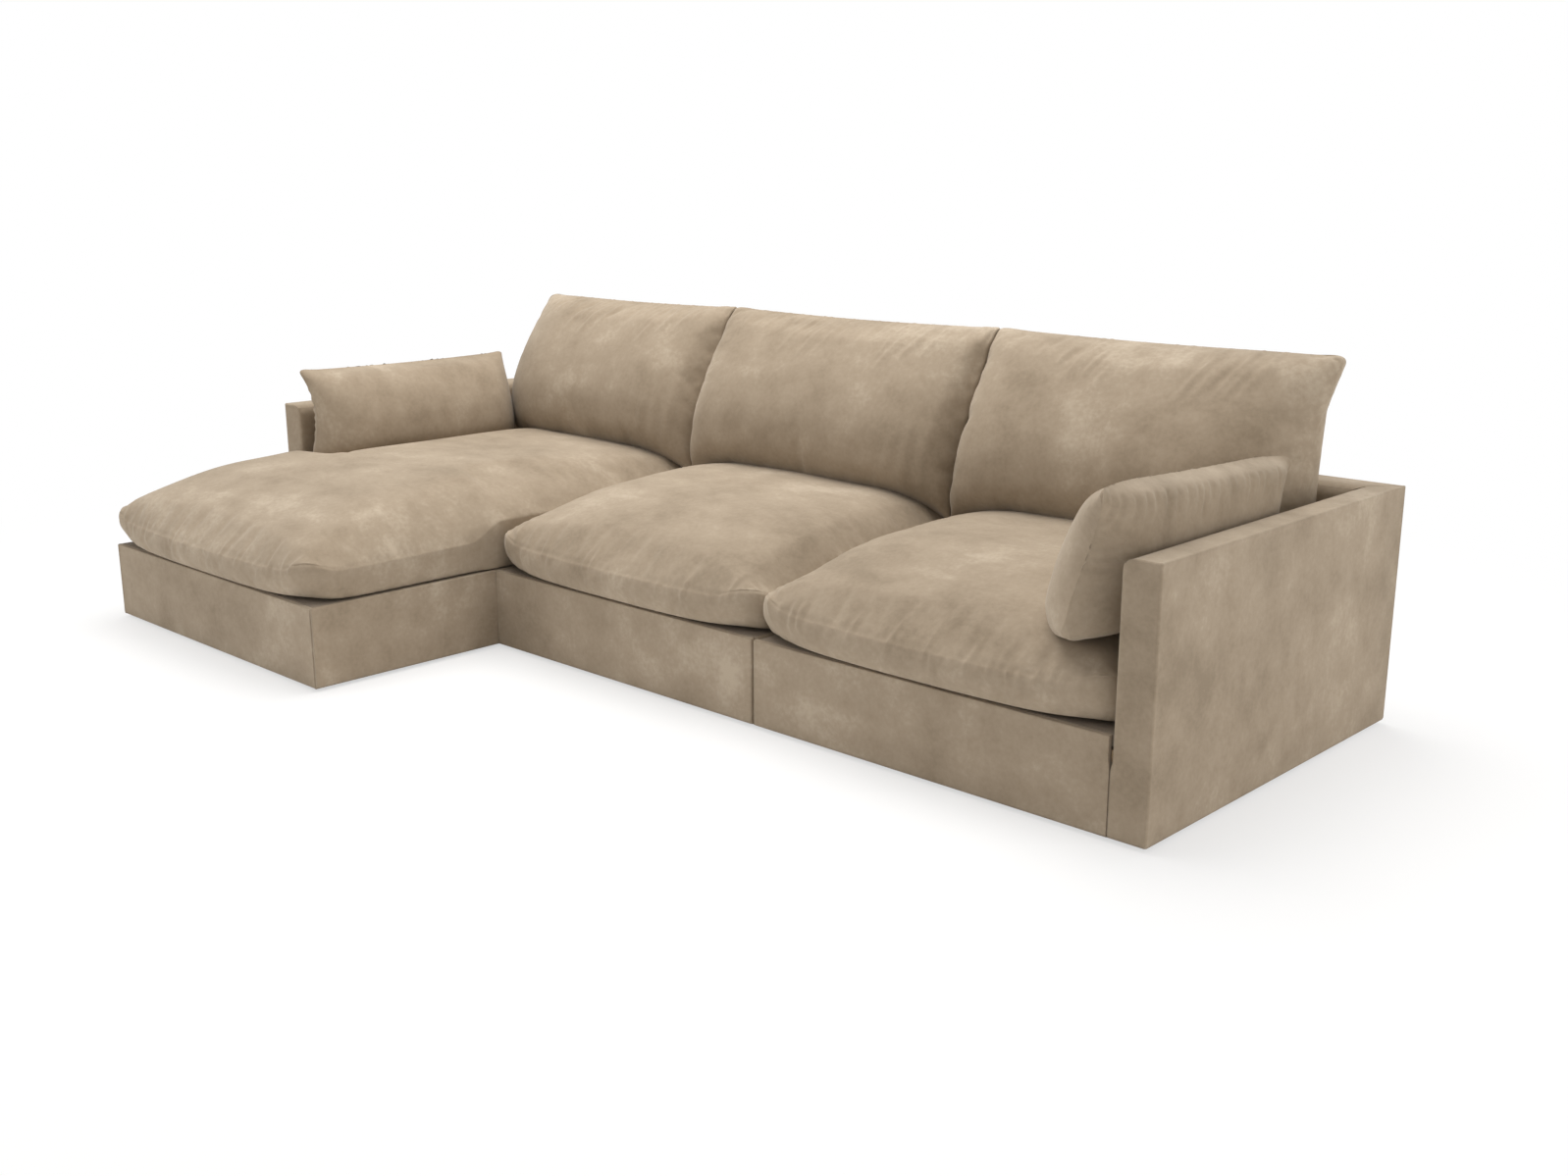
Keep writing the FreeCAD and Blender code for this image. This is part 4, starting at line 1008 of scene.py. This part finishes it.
for side, shape in (("left", LEFT_SHAPE), ("right", RIGHT_SHAPE)):
    node = side + "_arm_cushion"
    low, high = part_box(node)
    front, rear = low.y + 0.002, high.y - 0.003
    piece, at = block(
        node + "_velvet",
        spread(rear - front, ARM_CUSHION_STEP),
        spread(ARM_CUSHION_LENGTH, ARM_CUSHION_STEP),
        graded(0, 1, 0.25, (0, 0.12)),
    )
    u, v, t = at[:, 0], at[:, 1], at[:, 2]
    rim = on_rim(u, v)
    along = front + (rear - front) * u
    ends = np.minimum(along - front, rear - along)
    ends, from_top = rounded(ends, (1 - v) * ARM_CUSHION_LENGTH, 0.028)
    ends, from_base = rounded(ends, ARM_CUSHION_LENGTH - from_top, 0.035)
    v = from_base / ARM_CUSHION_LENGTH
    along = np.where(u < 0.5, front + ends, rear - ends)
    full = swell(ends, 0.17)
    across, height = {}, {}
    for skin, points in shape.items():
        across[skin] = curve_through([(p[0], p[1]) for p in points], v)
        height[skin] = curve_through([(p[0], p[2]) for p in points], v) + GLIDE
    back_a, face_a = (between(across["edge"], across[skin], full) for skin in ("back", "face"))
    back_z, face_z = (between(height["edge"], height[skin], full) for skin in ("back", "face"))
    a = between(back_a, face_a, t)
    z = between(back_z, face_z, t)
    pull = 0.026 * np.sin(math.pi * v) * (1 - smooth(ends / 0.2))
    along = np.where(u < 0.5, along + pull, along - pull)
    ear = np.exp(-((ends / 0.04) ** 2 + (from_top / 0.045) ** 2))
    z = z + 0.005 * ear - 0.005 * np.sin(math.pi * u) * smooth((v - 0.85) / 0.15)
    if side == "right":
        # low at its front end, where the seat slopes away, and higher over the crown behind
        lifted = 0.050 * smooth((along + 0.22) / 0.3) * (1 - smooth(v / 0.55))
        z += lifted - 0.030 * u * smooth((v - 0.4) / 0.6)
    x = ARM_INNER - 0.0015 + a if side == "left" else RIGHT_ARM_INNER - a
    move_to(piece, np.stack([x, along, z], 1))
    if side == "left":
        turn_over()
    held = (t < 0.001) | (rim & (np.abs(t - 1) < 1e-6))
    puff(piece, held, 0.009)
    finer(piece)

    # Gathers at both end seams, and pulls below the top seam. The faces of both cushions look
    # inwards, so these folds lie on the side towards the arm
    rng = np.random.default_rng(7 + len(side))
    lines = []
    for number in range(8):
        level = 0.44 + 0.030 * number + rng.normal(0, 0.004)
        lean = (0.56 - level) * 0.35
        reach = rng.uniform(0.05, 0.10)
        start, stop = (front + 0.014, level), (front + reach, level + lean)
        lines.append((start, stop, FOLD_WIDTH, rng.uniform(0.003, 0.006)))
        reach = rng.uniform(0.04, 0.08)
        start, stop = (rear - 0.014, level), (rear - reach, level + lean)
        lines.append((start, stop, FOLD_WIDTH, rng.uniform(0.002, 0.005)))
    place = front + 0.05
    while place < rear - 0.05:
        length = rng.uniform(0.04, 0.11)
        start, stop = (place, 0.715), (place - 0.4 * length, 0.70 - length)
        lines.append((start, stop, 0.008, rng.uniform(0.002, 0.005)))
        place += rng.uniform(0.02, 0.045)
    folds(piece, (1, 2), (0.85 if side == "left" else -0.85, 0, 0.5), lines)
    at = places_of(piece)
    if side == "left":
        at[:, 0] = np.maximum(at[:, 0], ARM_INNER - 0.0005)
    else:
        at[:, 0] = np.minimum(at[:, 0], RIGHT_ARM_INNER - 0.0005)
    move_to(piece, at)
    finish_padded(piece, node, side + "_arm_pillow", velvet)


# Studio: a pale floor, a white surround, a large soft lamp overhead, weaker ones in front and at the right.
# The camera stands where the photograph was taken from.

bpy.ops.object.select_all(action="DESELECT")
bpy.ops.mesh.primitive_plane_add(size=60, location=(0, 0, 0))
floor = bpy.context.object
floor.name = "studio_floor"
paper, tree, shader = new_material("floor_paper", (0.93, 0.93, 0.93), 0.9)
shader.inputs["Specular IOR Level"].default_value = 0.0
where = add_node(tree, "TexCoord").outputs["Object"]
distance = add_node(tree, "VectorMath", operation="LENGTH")
tree.links.new(where, distance.inputs[0])
fading = add_node(tree, "MapRange", From_Min=1.6, From_Max=3.2, To_Min=0.6, To_Max=1.0)
tree.links.new(distance.outputs["Value"], fading.inputs["Value"])
paths = tree.nodes.new("ShaderNodeLightPath")
share = add_node(tree, "Math", operation="MULTIPLY")
tree.links.new(fading.outputs["Result"], share.inputs[0])
tree.links.new(paths.outputs["Is Camera Ray"], share.inputs[1])
white = tree.nodes.new("ShaderNodeEmission")
white.inputs["Color"].default_value = (1, 1, 1, 1)
white.inputs["Strength"].default_value = 1.0
blend = tree.nodes.new("ShaderNodeMixShader")
tree.links.new(share.outputs["Value"], blend.inputs["Fac"])
tree.links.new(shader.outputs["BSDF"], blend.inputs[1])
tree.links.new(white.outputs["Emission"], blend.inputs[2])
tree.links.new(blend.outputs["Shader"], tree.nodes["Material Output"].inputs["Surface"])
dress(floor, paper)

world = bpy.data.worlds.new("studio")
bpy.context.scene.world = world
world.use_nodes = True
tree = world.node_tree
lit = tree.nodes["Background"]
lit.inputs["Color"].default_value = (1.0, 0.99, 0.975, 1)
lit.inputs["Strength"].default_value = 0.52
seen = tree.nodes.new("ShaderNodeBackground")
seen.inputs["Color"].default_value = (1, 1, 1, 1)
seen.inputs["Strength"].default_value = 1.0
paths = tree.nodes.new("ShaderNodeLightPath")
any_view = add_node(tree, "Math", operation="MAXIMUM")
tree.links.new(paths.outputs["Is Camera Ray"], any_view.inputs[0])
tree.links.new(paths.outputs["Is Glossy Ray"], any_view.inputs[1])
any_more = add_node(tree, "Math", operation="MAXIMUM")
tree.links.new(any_view.outputs["Value"], any_more.inputs[0])
tree.links.new(paths.outputs["Is Transmission Ray"], any_more.inputs[1])
either = tree.nodes.new("ShaderNodeMixShader")
tree.links.new(any_more.outputs["Value"], either.inputs["Fac"])
tree.links.new(lit.outputs["Background"], either.inputs[1])
tree.links.new(seen.outputs["Background"], either.inputs[2])
tree.links.new(either.outputs["Shader"], tree.nodes["World Output"].inputs["Surface"])


def lamp(name, place, aim, size, power, colour):
    """Square soft lamp that faces its aim."""
    bpy.ops.object.light_add(type="AREA", location=place)
    light = bpy.context.object
    light.name = name
    light.data.size = size
    light.data.energy = power
    light.data.color = colour
    way = np.array(aim, float) - np.array(place, float)
    yaw = math.atan2(way[1], way[0]) - math.pi / 2
    tilt = math.atan2(math.hypot(way[0], way[1]), -way[2])
    light.rotation_euler = (tilt, 0, yaw)


lamp("overhead_lamp", (-0.6, 0.6, 4.2), (0, 0, 0.4), 4.0, 205, (1.0, 0.985, 0.96))
lamp("front_lamp", (-3.0, -4.6, 2.0), (0, 0, 0.3), 3.0, 42, (1.0, 0.98, 0.95))
lamp("right_lamp", (4.8, 0.5, 0.8), (1.5, 0.3, 0.3), 1.8, 42, (1.0, 0.98, 0.95))

bpy.ops.object.camera_add(
    location=(3.06980, -2.81804, 1.27658),
    rotation=(math.radians(75.619), 0, math.radians(43.592)),
)
camera = bpy.context.object
camera.data.lens = 37.142
camera.data.sensor_width = 36
camera.data.clip_end = 100
bpy.context.scene.camera = camera
bpy.context.scene.view_settings.view_transform = "Standard"
